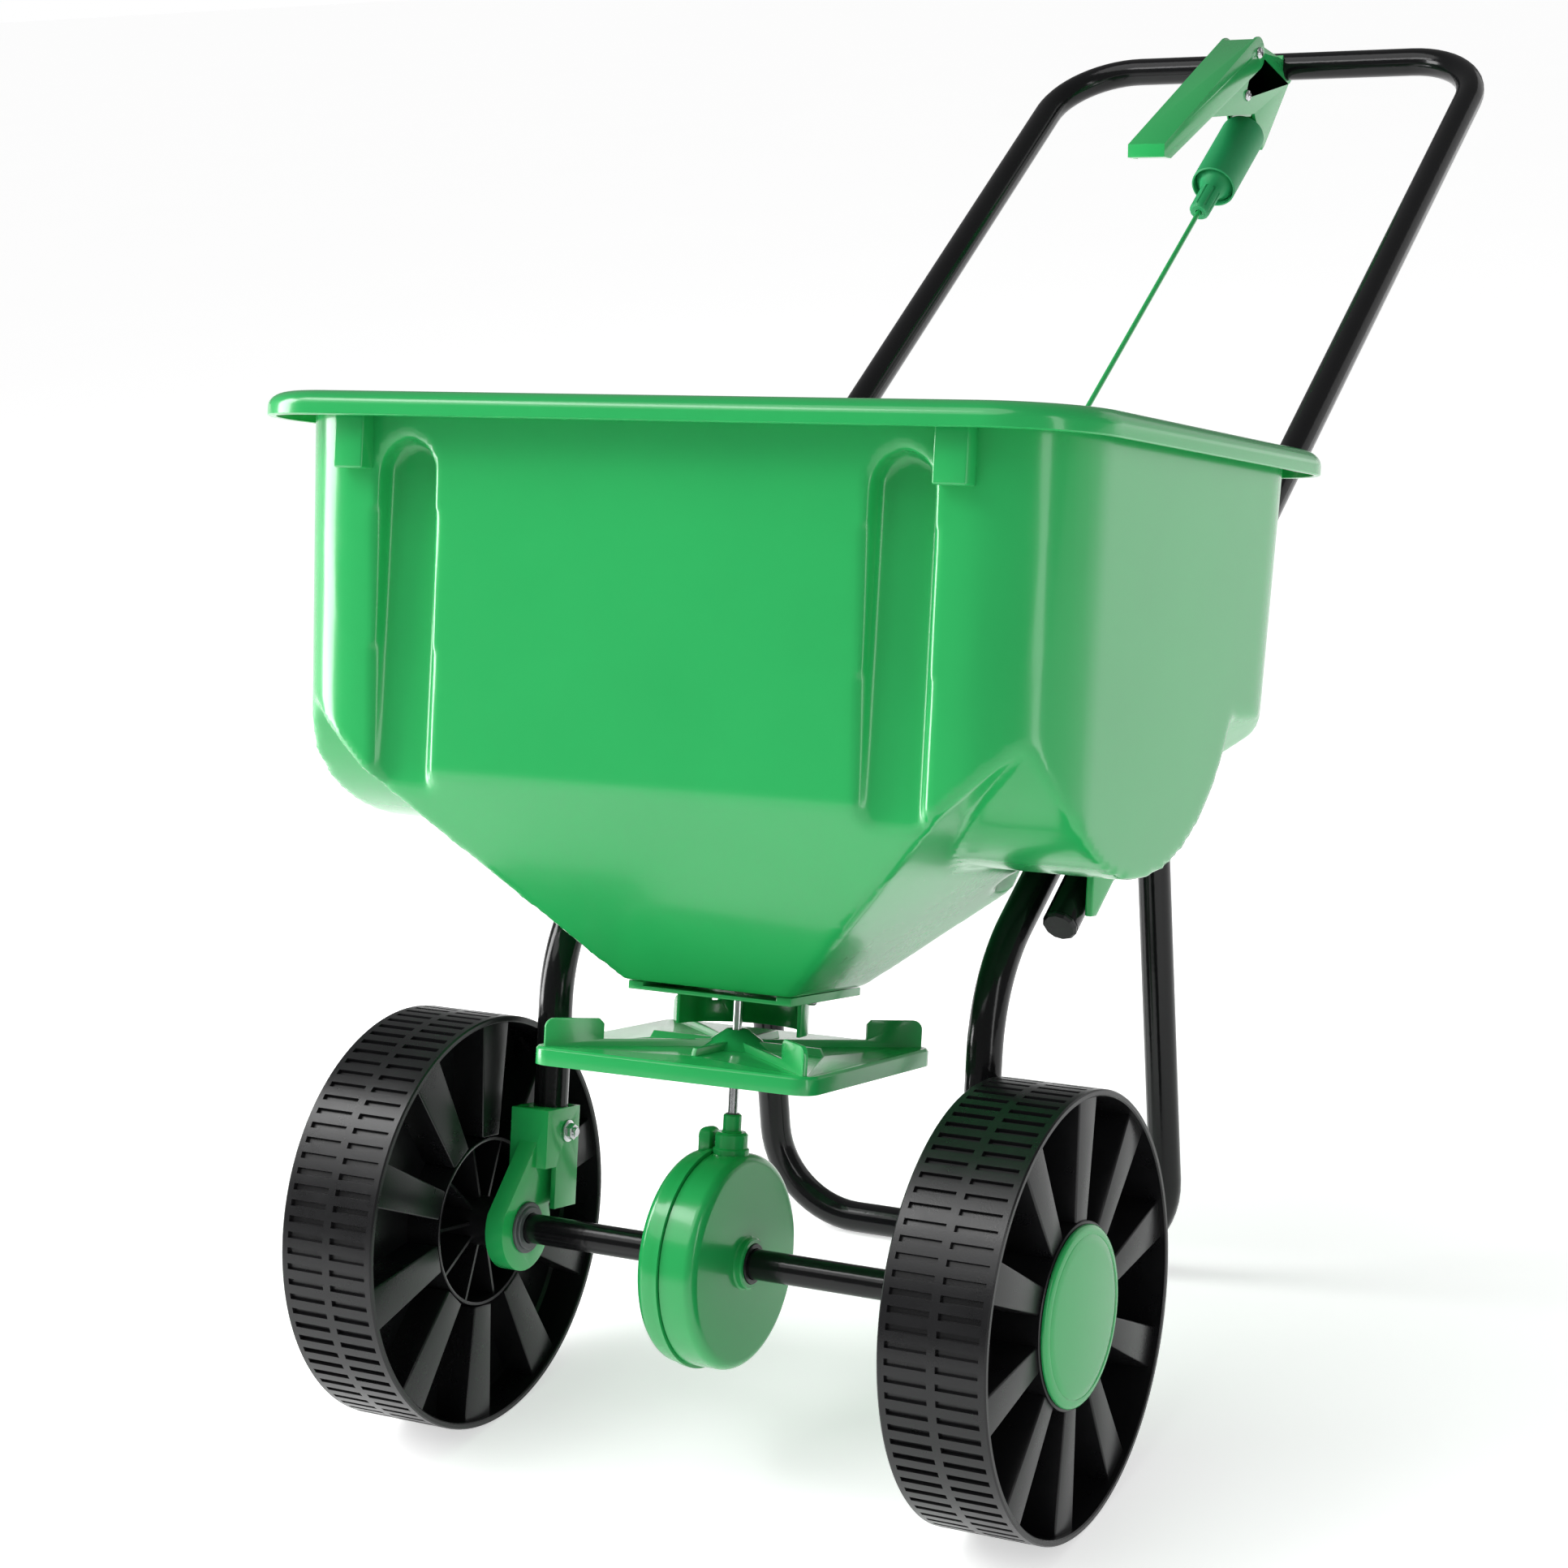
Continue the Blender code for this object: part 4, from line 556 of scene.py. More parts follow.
def turned(name, profile, steps=64, closed=False):
    """A circle extruded ring by ring along Z through (radius, height) points."""
    radius, height = max(profile[0][0], NO_RADIUS), profile[0][1]
    obj = settle(primitive("circle", name, vertices=steps, radius=radius, location=(0, 0, height)))
    bpy.ops.object.mode_set(mode="EDIT")
    bpy.ops.mesh.select_mode(type="EDGE")
    bpy.ops.mesh.select_all(action="SELECT")
    last_radius, last_height = radius, height
    for radius, height in profile[1:] + (profile[:1] if closed else []):
        radius = max(radius, NO_RADIUS)
        rise = {"value": (0, 0, height - last_height)}
        bpy.ops.mesh.extrude_edges_move(TRANSFORM_OT_translate=rise)
        scale = radius / last_radius
        bpy.ops.transform.resize(value=(scale, scale, 1), center_override=(0, 0, height))
        last_radius, last_height = radius, height
    done()
    edit(obj)
    bpy.ops.mesh.remove_doubles(threshold=0.00003)
    bpy.ops.mesh.normals_make_consistent(inside=False)
    done()
    return obj


def arc(centre, radius, first, last, steps):
    angles = [radians(first + (last - first) * k / steps) for k in range(steps + 1)]
    return [(centre[0] + radius * cos(a), centre[1] + radius * sin(a)) for a in angles]


def lofted(name, sections, corner=0.0, steps=10, closed=False):
    """A rounded rectangle extruded through (half width, front, back, height) sections."""
    half, front, back, z = sections[0]
    obj = primitive("plane", name, size=1, location=(0, (front + back) / 2, z))
    obj.scale = (2 * half, back - front, 1)
    settle(obj)
    bpy.ops.object.mode_set(mode="EDIT")
    bpy.ops.mesh.select_all(action="SELECT")
    if corner:
        bpy.ops.mesh.bevel(offset=corner, segments=steps, affect="VERTICES")
        bpy.ops.mesh.select_all(action="SELECT")
    if closed:
        bpy.ops.mesh.delete(type="ONLY_FACE")
    bpy.ops.mesh.select_mode(type="EDGE" if closed else "FACE")
    bpy.ops.mesh.select_all(action="SELECT")
    now = sections[0]
    for after in sections[1:] + (sections[:1] if closed else []):
        if closed:
            bpy.ops.mesh.extrude_edges_move()
        else:
            bpy.ops.mesh.extrude_region_move()
        centre = (0, (now[1] + now[2]) / 2, now[3])
        wide, deep = after[0] / now[0], (after[2] - after[1]) / (now[2] - now[1])
        bpy.ops.transform.resize(value=(wide, deep, 1), center_override=centre)
        shift = ((after[1] + after[2]) - (now[1] + now[2])) / 2
        bpy.ops.transform.translate(value=(0, shift, after[3] - now[3]))
        now = after
    done()
    return tidy(obj)


def block(name, low, high):
    low, high = Vector(low), Vector(high)
    obj = primitive("cube", name, size=1, location=(low + high) / 2)
    obj.scale = high - low
    return settle(obj)


def rod_between(name, start, end, radius, sides=32):
    start, end = Vector(start), Vector(end)
    rod = primitive("cylinder", name, vertices=sides, radius=radius, depth=(end - start).length)
    return settle(rod, Matrix.Translation((start + end) / 2) @ facing(end - start))


def flat_piece(name, outline, thickness, centre, across, up):
    """A flat outline as a filled 2D curve, made a solid and set in its own plane."""
    curve = bpy.data.curves.new(name, "CURVE")
    curve.dimensions = "2D"
    curve.fill_mode = "BOTH"
    curve.extrude = thickness / 2
    spline = curve.splines.new("POLY")
    spline.points.add(len(outline) - 1)
    for point, (a, b) in zip(spline.points, outline):
        point.co = (a, b, 0, 1)
    spline.use_cyclic_u = True
    alone(linked(name, curve))
    bpy.ops.object.convert(target="MESH")
    obj = bpy.context.object
    across, up = Vector(across), Vector(up)
    turn = Matrix((across, up, across.cross(up))).transposed().to_4x4()
    return tidy(settle(obj, Matrix.Translation(centre) @ turn))


def bent_route(corners, bend, steps=14):
    """Straight runs between the corners with a round bend at each inner corner."""
    corners = [Vector(corner) for corner in corners]
    route = [corners[0]]
    for before, corner, after in zip(corners, corners[1:], corners[2:]):
        back, on = (before - corner).normalized(), (after - corner).normalized()
        half = back.angle(on) / 2
        centre = corner + (back + on).normalized() * bend / sin(half)
        reach = bend * cos(half) / sin(half)
        start, end = corner + back * reach - centre, corner + on * reach - centre
        for k in range(steps + 1):
            turn = Matrix.Rotation(start.angle(end) * k / steps, 3, start.cross(end))
            route.append(centre + turn @ start)
    route.append(corners[-1])
    return route


def tube(name, route, radius, wall=0.0, resolution=10):
    curve = bpy.data.curves.new(name, "CURVE")
    curve.dimensions = "3D"
    curve.bevel_depth = radius
    curve.bevel_resolution = resolution
    curve.use_fill_caps = not wall
    spline = curve.splines.new("POLY")
    spline.points.add(len(route) - 1)
    for point, at in zip(spline.points, route):
        point.co = (*at, 1)
    alone(linked(name, curve))
    bpy.ops.object.convert(target="MESH")
    obj = tidy(bpy.context.object)
    if wall:
        applied(obj, "SOLIDIFY", thickness=wall, offset=-1)
    return smooth(obj, 50)


def on_handle(s, x=0.0, off=0.0):
    y, z = HANDLE_FOOT + RUN * s + RISE_NORMAL * off
    return Vector((x, y, z))


def on_rod(s, x=0.0, off=0.0):
    y, z = ROD_LOW + RUN * s + RISE_NORMAL * off
    return Vector((x, y, z))


def body_of(node):
    return frame["nodes"][node]["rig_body"]


def stands_for(obj, finish, *nodes):
    """Puts a finished piece in the machine's stance, in place of its CAD nodes."""
    settle(obj, STANCE)
    return take_over(obj, finish, *nodes)


def take_over(obj, finish, *nodes):
    paint(obj, finish)
    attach(obj, body_of(nodes[0]))
    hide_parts(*nodes)
    return obj


def copy_of(node, name):
    """A merged copy of a CAD node's mesh, with its flat faces whole again."""
    obj = linked(name, frame["nodes"][node].data.copy())
    edit(obj)
    bpy.ops.mesh.remove_doubles(threshold=MERGE_WITHIN)
    bpy.ops.mesh.dissolve_limited(angle_limit=radians(1.0))
    done()
    return obj


def softened_copy(node, name, finish, width, segments=2):
    obj = softened(copy_of(node, name), width, segments)
    return take_over(obj, finish, node)


# ---- Hopper ----


def wall_at(z):
    fall = RIM_Z - z
    return (WALL_HALF_WIDTH - SIDE_DRAFT * fall, WALL_FRONT + FRONT_DRAFT * fall,
            WALL_BACK - BACK_DRAFT * fall)


def funnel_solid():
    front_slope = (-wall_at(FRONT_CREASE_Z)[1] + FLOOR_FRONT) / (FRONT_CREASE_Z - FLOOR_Z)
    rear_slope = (wall_at(REAR_CREASE_Z)[2] - FLOOR_BACK) / (REAR_CREASE_Z - FLOOR_Z)
    rise = RIM_Z + 0.06 - FLOOR_Z
    low = (FLOOR_HALF_WIDTH, FLOOR_FRONT, FLOOR_BACK, FLOOR_Z)
    high = (FLOOR_HALF_WIDTH + SIDE_SLOPE * rise, FLOOR_FRONT - front_slope * rise,
            FLOOR_BACK + rear_slope * rise, RIM_Z + 0.06)
    return lofted("funnel", [low, high])


def channel_cutters(side):
    back = WALL_FRONT + CHANNEL_DEPTH
    front = RIM_FRONT - 0.01
    half = CHANNEL_WIDTH / 2
    x = side * CHANNEL_X
    crown = CHANNEL_TOP_Z - half
    top = rod_between("channel_top", (x, front, crown), (x, back, crown), half, 40)
    run = block("channel_run", (x - half, front, FLOOR_Z + 0.05), (x + half, back, crown))
    return [top, run]


def groove_cutter(side):
    """Room under the hopper for a handle tube and a leg tube, side by side."""
    outer, inner = HANDLE_X + TUBE_RADIUS + 0.0006, GROOVE_INNER_X
    top = TUBE_RADIUS + 0.0009
    middle = on_handle(0.165)
    low = (min(side * inner, side * outer), -0.07, -0.145)
    high = (max(side * inner, side * outer), top, 0.145)
    cutter = block("groove", low, high)
    turn = Matrix(((1, 0, 0), (0, *RISE_NORMAL)[:3], (0, *RUN)[:3])).transposed().to_4x4()
    return tidy(settle(cutter, Matrix.Translation(middle) @ turn))


def hopper_shell():
    """A solid of the outer form, softened all over, then opened and given its wall."""
    size = settings("spreader_hopper")
    walls = [(*wall_at(z), z) for z in (FLOOR_Z - 0.02, RIM_Z + 0.03)]
    shell = lofted("hopper_moulding", walls, WALL_CORNER, 10)
    bulk = funnel_solid()
    bulge = rod_between("lobes", (-0.3, LOBE_Y, LOBE_Z), (0.3, LOBE_Y, LOBE_Z), LOBE_RADIUS, 96)
    unite(bulk, bulge)
    combine(shell, [bulk], "INTERSECT")
    for side in (1, -1):
        cut(shell, *channel_cutters(side), groove_cutter(side))
    applied(shell, "REMESH", mode="VOXEL", voxel_size=size.grain)
    applied(shell, "SMOOTH", factor=0.5, iterations=size.softness)
    applied(shell, "DECIMATE", ratio=KEPT_FACES)
    edit(shell)
    mouth = (0, 0, RIM_Z - RIM_SHEET / 2)
    bpy.ops.mesh.bisect(plane_co=mouth, plane_no=(0, 0, 1), clear_outer=True)
    done()
    applied(shell, "SOLIDIFY", thickness=HOPPER_WALL, offset=-1, use_even_offset=False)
    return smooth(shell, 60)


def rim_ring():
    """The rolled lip: a sheet with a rounded outer edge and a skirt that hangs from it."""
    half, front, back = wall_at(RIM_Z)
    reach = RIM_HALF_WIDTH - half

    def at(out, z):
        share = out / reach
        front_at = front + (RIM_FRONT - front) * share
        back_at = back + (RIM_BACK - back) * share
        return (half + out, front_at, back_at, z)

    inner, skirt = -HOPPER_WALL - 0.0004, RIM_Z - RIM_SKIRT
    inside = reach - RIM_SHEET
    rings = [at(inner, RIM_Z - RIM_SHEET - 0.001), at(inside - 0.002, RIM_Z - RIM_SHEET),
             at(inside, RIM_Z - RIM_SHEET - 0.003), at(inside, skirt + 0.0004)]
    rings += [at(inside + 0.0006, skirt), at(reach - 0.0008, skirt), at(reach, skirt + 0.0008)]
    rings += [at(x, z) for x, z in arc((reach - RIM_ROUND, RIM_Z - RIM_ROUND), RIM_ROUND, 0, 90, 8)]
    rings += [at(0.002, RIM_Z)]
    rings += [at(inner + 0.002 + x, RIM_Z - 0.002 + z) for x, z in arc((0, 0), 0.002, 90, 180, 4)]
    return smooth(lofted("rim", rings, WALL_CORNER - HOPPER_WALL, 16, True), 40)


def rim_tab(side):
    half = TAB_WIDTH / 2
    x = side * TAB_X
    back = wall_at(TAB_FOOT_Z)[1] + 0.001
    low, high = (x - half, WALL_FRONT - TAB_PROUD, TAB_FOOT_Z), (x + half, back, RIM_Z - 0.002)
    return softened(block("rim_tab", low, high), 0.0014, 3)


def cheek_ear(side):
    """The cheek beside the handle tube's foot, with the lug that the frame bolt goes through."""
    at = on_handle(BOLT_AT)
    foot = (HANDLE_FOOT.x + 0.005, HANDLE_FOOT.y + 0.0055)
    lug = [(at.y - 0.017, at.z - 0.0205), (at.y + 0.005, at.z - 0.016)]
    lug += [(at.y + 0.025, at.z), (at.y + 0.04, at.z + 0.022), (at.y + 0.04, at.z + 0.042)]
    outline = [foot, (foot[0] + 0.008, foot[1])] + lug + [(foot[0], at.z + 0.042)]
    ear = flat_piece("ear", outline, EAR_SHEET, (side * EAR_X, 0, 0), (0, 1, 0), (0, 0, 1))
    return softened(ear, 0.0012, 3)


class SPREADER_OT_hopper(bpy.types.Operator):
    """Model the hopper with its rolled rim, channels, side bulges and frame ears"""

    bl_idname = "spreader.hopper"
    bl_label = "Hopper"

    def execute(self, context):
        shell = hopper_shell()
        low, high = FLOOR_Z - 0.02, FLOOR_Z + 0.02
        holes = [rod_between("bearing_hole", (0, 0, low), (0, 0, high), BEARING_HOLE)]
        for side in (1, -1):
            ends = [(side * PORT_X, PORT_Y, z) for z in (low, high)]
            holes.append(rod_between("port", *ends, PORT_RADIUS))
        cut(shell, *holes)
        pieces = [rim_ring()]
        for side in (1, -1):
            pieces += [rim_tab(side), cheek_ear(side)]
        joined(shell, *pieces)
        stands_for(shell, "green_plastic", "hopper")
        return {"FINISHED"}


# ---- Wheels and axle ----


def treaded_rim():
    """The wheel's body, turned in rings, with its tread slots sunk between the bars."""
    size = settings("spreader_wheels")
    middle = (WHEEL_INNER_X + WHEEL_OUTER_X) / 2
    bands = [WHEEL_INNER_X + BAND_INSET, WHEEL_INNER_X + BAND_WIDTH, middle - MIDDLE_BAND,
             middle + MIDDLE_BAND, WHEEL_OUTER_X - BAND_WIDTH, WHEEL_OUTER_X - BAND_INSET]
    inside, drum, bore = WHEEL_RADIUS - WHEEL_RIM, DRUM_RADIUS, AXLE_RADIUS + BORE_ROOM
    low, high = WEB_X - WHEEL_WEB / 2, WEB_X + WHEEL_WEB / 2
    outer_face, inner_face = WHEEL_OUTER_X, WHEEL_INNER_X
    profile = [(WHEEL_RADIUS - RIM_EDGE, inner_face)] + [(WHEEL_RADIUS, x) for x in bands]
    profile += [(WHEEL_RADIUS - RIM_EDGE, outer_face), (inside + RIM_EDGE, outer_face)]
    profile += [(inside, outer_face - RIM_EDGE), (inside, high + WEB_FILLET)]
    profile += [(inside - WEB_FILLET, high), (drum + WEB_FILLET, high), (drum, high + WEB_FILLET)]
    profile += [(drum, DRUM_FACE_X - 0.0006), (drum - 0.0006, DRUM_FACE_X)]
    profile += [(drum - 0.003, DRUM_FACE_X), (drum - 0.003, high + WEB_FILLET)]
    profile += [(HUB_RADIUS, high + WEB_FILLET), (HUB_RADIUS, HUB_OUTER_X), (bore, HUB_OUTER_X)]
    profile += [(bore, HUB_INNER_X), (HUB_RADIUS, HUB_INNER_X), (HUB_RADIUS, low)]
    profile += [(drum - 0.0035, low), (drum - 0.0035, inner_face + 0.0045)]
    profile += [(drum - 0.002, inner_face + 0.004), (drum - 0.0015, inner_face + 0.0045)]
    profile += [(drum - 0.0015, low), (inside - WEB_FILLET, low), (inside, low - WEB_FILLET)]
    profile += [(inside, inner_face + RIM_EDGE), (inside + RIM_EDGE, inner_face)]
    wheel = turned("wheel", profile, 2 * size.slots, True)
    pitch = 2 * pi / size.slots

    def slot_face(centre, normal):
        if Vector((centre.x, centre.y)).length < WHEEL_RADIUS - RIM_EDGE:
            return False
        in_row = bands[1] < centre.z < bands[2] or bands[3] < centre.z < bands[4]
        return in_row and (atan2(centre.y, centre.x) % pitch) < pitch / 2

    edit(wheel, slot_face)
    bpy.ops.mesh.inset(thickness=0.0005, depth=0.0, use_individual=True)
    bpy.ops.mesh.inset(thickness=0.0004, depth=-size.slot_depth, use_individual=True)
    done()
    return smooth(wheel, 30)


def stretched(obj, factor, choose):
    """Scales the chosen faces along X, about the middle."""
    edit(obj, choose)
    bpy.ops.transform.resize(value=(factor, 1, 1), center_override=(0, 0, 0))
    done()


def spoke(angle, floor_x, top_x):
    """A box rib from the drum to the rim, wider outwards and drafted towards its flat top."""
    near, far = DRUM_RADIUS - 0.001, WHEEL_RADIUS - WHEEL_RIM + 0.0008
    rib = block("spoke", (-0.5, near, floor_x), (0.5, far, top_x))
    stretched(rib, SPOKE_DRUM_WIDTH, lambda centre, normal: normal.y < -0.5)
    stretched(rib, SPOKE_RIM_WIDTH, lambda centre, normal: normal.y > 0.5)
    stretched(rib, SPOKE_FLARE, lambda centre, normal: abs(centre.z - floor_x) < 0.0001)
    softened(rib, 0.0012, 3)
    return settle(rib, Matrix.Rotation(angle, 4, "Z"))


def thin_rib(angle):
    """One of the thin ribs between the hub and the ring on the wheel's inner face."""
    low = WHEEL_INNER_X + 0.007
    rib = block("rib", (-0.001, HUB_RADIUS - 0.001, low), (0.001, DRUM_RADIUS - 0.003, WEB_X))
    return settle(rib, Matrix.Rotation(angle, 4, "Z"))


def wheel(side, name, cad):
    count = settings("spreader_wheels").spokes
    body = treaded_rim()
    ribs = []
    for k in range(count):
        angle = 2 * pi * k / count
        ribs.append(spoke(angle, WEB_X, WHEEL_OUTER_X - SPOKE_SINK))
        ribs.append(spoke(angle, WHEEL_INNER_X + SPOKE_SINK, WEB_X))
        ribs.append(thin_rib(angle + pi / count))
    joined(body, *ribs)
    body.name = name
    settle(body, facing((side, 0, 0)))
    return stands_for(body, "black_plastic", cad)


def hub_cap(side, name, cad):
    """A domed cap with a shallow step round its middle disc."""
    seat = DRUM_FACE_X + 0.0003
    edge, disc = 0.0543, 0.0488
    profile = [(0.0, 0.0012), (0.03, 0.0008), (0.0506, 0.0), (0.0506, -0.006), (0.0526, -0.006)]
    profile += [(0.0526, 0.0), (edge, 0.0), (edge, 0.0008)]
    profile += [(disc + (edge - disc) * cos(a), 0.0008 + 0.0024 * sin(a))
                for a in (radians(15 * k) for k in range(1, 6))]
    profile += [(disc, 0.0032), (disc - 0.0004, 0.0029), (disc - 0.0009, 0.0032)]
    profile += [(disc * k / 8, 0.0032 + 0.0023 * (1 - (k / 8) ** 2)) for k in range(7, 0, -1)]
    profile += [(0.0, 0.0055)]
    cap = turned(name, profile, 96)
    settle(cap, Matrix.Translation((side * seat, 0, 0)) @ facing((side, 0, 0)))
    return stands_for(smooth(cap, 30), "green_plastic", cad)


class SPREADER_OT_wheels(bpy.types.Operator):
    """Model both wheels with their tread and spokes, and their hub caps"""

    bl_idname = "spreader.wheels"
    bl_label = "Wheels"

    def execute(self, context):
        for side, which in ((1, "drive"), (-1, "free")):
            wheel(side, which + "_wheel_moulding", which + "_wheel")
            hub_cap(side, which + "_hub_cap_dome", which + "_hub_cap")
        return {"FINISHED"}


# ---- Tubes ----


class SPREADER_OT_tubes(bpy.types.Operator):
    """Model the handle, the legs, the stand and the axle as smooth bent tubes"""

    bl_idname = "spreader.tubes"
    bl_label = "Tubes"

    def execute(self, context):
        bar = HANDLE_FOOT + RUN * HANDLE_LENGTH
        corners = [on_handle(0, HANDLE_X), (HANDLE_X, *bar), (-HANDLE_X, *bar),
                   on_handle(0, -HANDLE_X)]
        handle = tube("handle", bent_route(corners, HANDLE_BEND), TUBE_RADIUS, TUBE_WALL)
        stands_for(handle, "black_coat", "handle_tube")
        top = on_handle(STAND_TOP)
        up = Vector((0, top.y - STAND_BAR.x, top.z - STAND_BAR.y)).normalized() * STAND_TOP_PAST
        x = INNER_TUBE_X
        corners = [Vector((x, top.y, top.z)) + up, (x, *STAND_BAR), (-x, *STAND_BAR),
                   Vector((-x, top.y, top.z)) + up]
        stand = tube("stand", bent_route(corners, STAND_BEND), TUBE_RADIUS, TUBE_WALL)
        stands_for(stand, "black_coat", "stand_tube")
        crossing = HANDLE_FOOT + RUN * ((LEG_Y - HANDLE_FOOT.x) / RUN.x)
        for side, name in ((1, "left"), (-1, "right")):
            x = side * INNER_TUBE_X
            corners = [(x, LEG_Y, LEG_FOOT_Z), (x, *crossing), on_handle(LEG_LAP, x)]
            leg = tube("leg_" + name, bent_route(corners, LEG_BEND, 18), TUBE_RADIUS, TUBE_WALL)
            stands_for(leg, "black_coat", "leg_tube_" + name)
        end = span("axle")[1].x
        wall = AXLE_RADIUS - TUBE_WALL
        profile = [(wall, -end), (AXLE_RADIUS - 0.0004, -end), (AXLE_RADIUS, 0.0004 - end),
                   (AXLE_RADIUS, end - 0.0004), (AXLE_RADIUS - 0.0004, end), (wall, end)]
        axle = smooth(turned("axle_bar", profile, 48, True), 40)
        settle(axle, facing((1, 0, 0)))
        stands_for(axle, "black_coat", "axle")
        return {"FINISHED"}


# ---- Gearbox, impeller and shaft ----


def case_half(name, face, seam, lip):
    """One dished half of the gearbox, from its seam to its face; lip is the seam's raised edge."""
    radius, wall = CASE_RADIUS, CASE_WALL
    profile = [(BUSH_SEAT, face + COLLAR_PROUD), (COLLAR_RADIUS - 0.001, face + COLLAR_PROUD)]
    profile += [(COLLAR_RADIUS, face + COLLAR_PROUD - 0.001), (COLLAR_RADIUS, face + 0.001)]
    profile += [(COLLAR_RADIUS + 0.001, face)]
    profile += arc((radius - CASE_EDGE, face - CASE_EDGE), CASE_EDGE, 90, 0, 8)
    if lip:
        profile += [(radius, seam + 0.0042), (radius + 0.0018, seam + 0.0032)]
        profile += [(radius + 0.0018, seam)]
    else:
        profile += [(radius, seam + 0.0008), (radius - 0.0008, seam)]
    profile += [(radius - wall, seam), (radius - wall, face - wall), (BUSH_SEAT, face - wall)]
    return turned(name, profile, 96, True)


class SPREADER_OT_gearbox(bpy.types.Operator):
    """Model the gearbox halves with their seam, turret, clamp ear and collars"""

    bl_idname = "spreader.gearbox"
    bl_label = "Gearbox"

    def execute(self, context):
        near_seam = SEAM_X + 0.0003
        body = settle(case_half("gearbox_shell", BODY_FACE_X, near_seam, False), facing((1, 0, 0)))
        cover = settle(case_half("gearbox_lid", -COVER_FACE_X, -SEAM_X, True), facing((-1, 0, 0)))
        low, bore = CASE_RADIUS - 0.004, TURRET_BORE
        wide, neck = TURRET_RADIUS, TURRET_NECK_RADIUS
        profile = [(bore, TURRET_TOP_Z), (neck - 0.0008, TURRET_TOP_Z)]
        profile += [(neck, TURRET_TOP_Z - 0.0008), (neck, TURRET_SHOULDER_Z + 0.001)]
        profile += [(neck + 0.001, TURRET_SHOULDER_Z), (wide - 0.0015, TURRET_SHOULDER_Z)]
        profile += [(wide, TURRET_SHOULDER_Z - 0.0015), (wide, CASE_RADIUS + 0.0035)]
        profile += [(wide + 0.0012, CASE_RADIUS + 0.0025), (wide + 0.0012, low), (bore, low)]
        turret = smooth(turned("turret", profile, 48, True), 40)
        inward, rear = CASE_RADIUS - 0.001, span("gearbox_body")[1].y
        lug = block("lug", (near_seam, inward, -LUG_HALF), (0.004, rear, LUG_HALF))
        softened(lug, 0.001)
        smooth(body, 40)
        joined(body, turret, lug)
        stands_for(body, "green_plastic", "gearbox_body")
        top = (-wide - 0.0015, 0.0065, 0.0815)
        ear = block("clamp_ear", (-0.02, -0.0065, CASE_RADIUS - 0.002), top)
        edit(ear, lambda centre, normal: normal.z > 0.5)
        bpy.ops.mesh.bevel(offset=0.004, segments=5, affect="EDGES")
        done()
        softened(ear, 0.0008)
        outer = max(span("gearbox_cover")[0].x, -0.02)
        lug = block("lug", (outer, inward, -LUG_HALF), (SEAM_X, rear, LUG_HALF))
        softened(lug, 0.001)
        smooth(cover, 40)
        joined(cover, ear, lug)
        stands_for(cover, "green_plastic", "gearbox_cover")
        return {"FINISHED"}


class SPREADER_OT_impeller(bpy.types.Operator):
    """Model the spinning plate with its vanes, and the shaft that turns it"""

    bl_idname = "spreader.impeller"
    bl_label = "Impeller"

    def execute(self, context):
        softened_copy("impeller", "impeller_moulding", "green_plastic", 0.0007, 3)
        low, high = span("impeller_shaft")
        profile = [(0.0, high.z), (SHAFT_RADIUS - 0.0005, high.z), (SHAFT_RADIUS, high.z - 0.0005)]
        profile += [(SHAFT_RADIUS, low.z + 0.0005), (SHAFT_RADIUS - 0.0005, low.z), (0.0, low.z)]
        stands_for(smooth(turned("shaft_bar", profile, 32), 40), "zinc_steel", "impeller_shaft")
        return {"FINISHED"}


# ---- Brackets and small mouldings ----


class SPREADER_OT_brackets(bpy.types.Operator):
    """Finish the axle brackets, the drop chute and the shut-off plate with moulded edges"""

    bl_idname = "spreader.brackets"
    bl_label = "Brackets"

    def execute(self, context):
        for side in ("left", "right"):
            name = "axle_bracket_moulding_" + side
            softened_copy("axle_bracket_" + side, name, "green_plastic", 0.0008, 3)
        softened_copy("drop_chute", "chute_moulding", "green_plastic", 0.0004)
        softened_copy("shutoff_plate", "shutoff_moulding", "green_plastic", 0.0003)
        return {"FINISHED"}


# ---- Hand control ----


def fluted_nozzle():
    """A plug in the sleeve's mouth that narrows to an eight-sided nozzle with sunk flutes."""
    top, foot = SLEEVE_FOOT + SLEEVE_LENGTH, SLEEVE_FOOT
    collar = SLEEVE_RADIUS - SLEEVE_WALL - 0.0004
    bore = ROD_RADIUS + 0.0006
    profile = [(bore, top), (0.0065, top), (0.0065, foot + 0.016), (collar, foot + 0.014)]
    profile += [(collar, foot + 0.006), (collar - 0.0006, foot + 0.0045)]
    profile += [(collar - 0.0045, foot + 0.0015), (NOZZLE_RADIUS + 0.0015, foot - 0.0035)]
    profile += [(NOZZLE_RADIUS, foot - 0.006), (NOZZLE_RADIUS - 0.0003, NOZZLE_FOOT + 0.0025)]
    profile += [(NOZZLE_RADIUS - 0.0022, NOZZLE_FOOT), (bore, NOZZLE_FOOT)]
    nozzle = turned("nozzle", profile, 64, True)
    flutes = []
    for k in range(8):
        angle = 2 * pi * k / 8
        reach = NOZZLE_RADIUS + 0.0006
        ends = [(reach * cos(angle), reach * sin(angle), z)
                for z in (NOZZLE_FOOT - 0.003, SLEEVE_FOOT - 0.009)]
        flutes.append(rod_between("flute", *ends, 0.0014, 16))
    cut(nozzle, *flutes)
    return smooth(nozzle, 38)


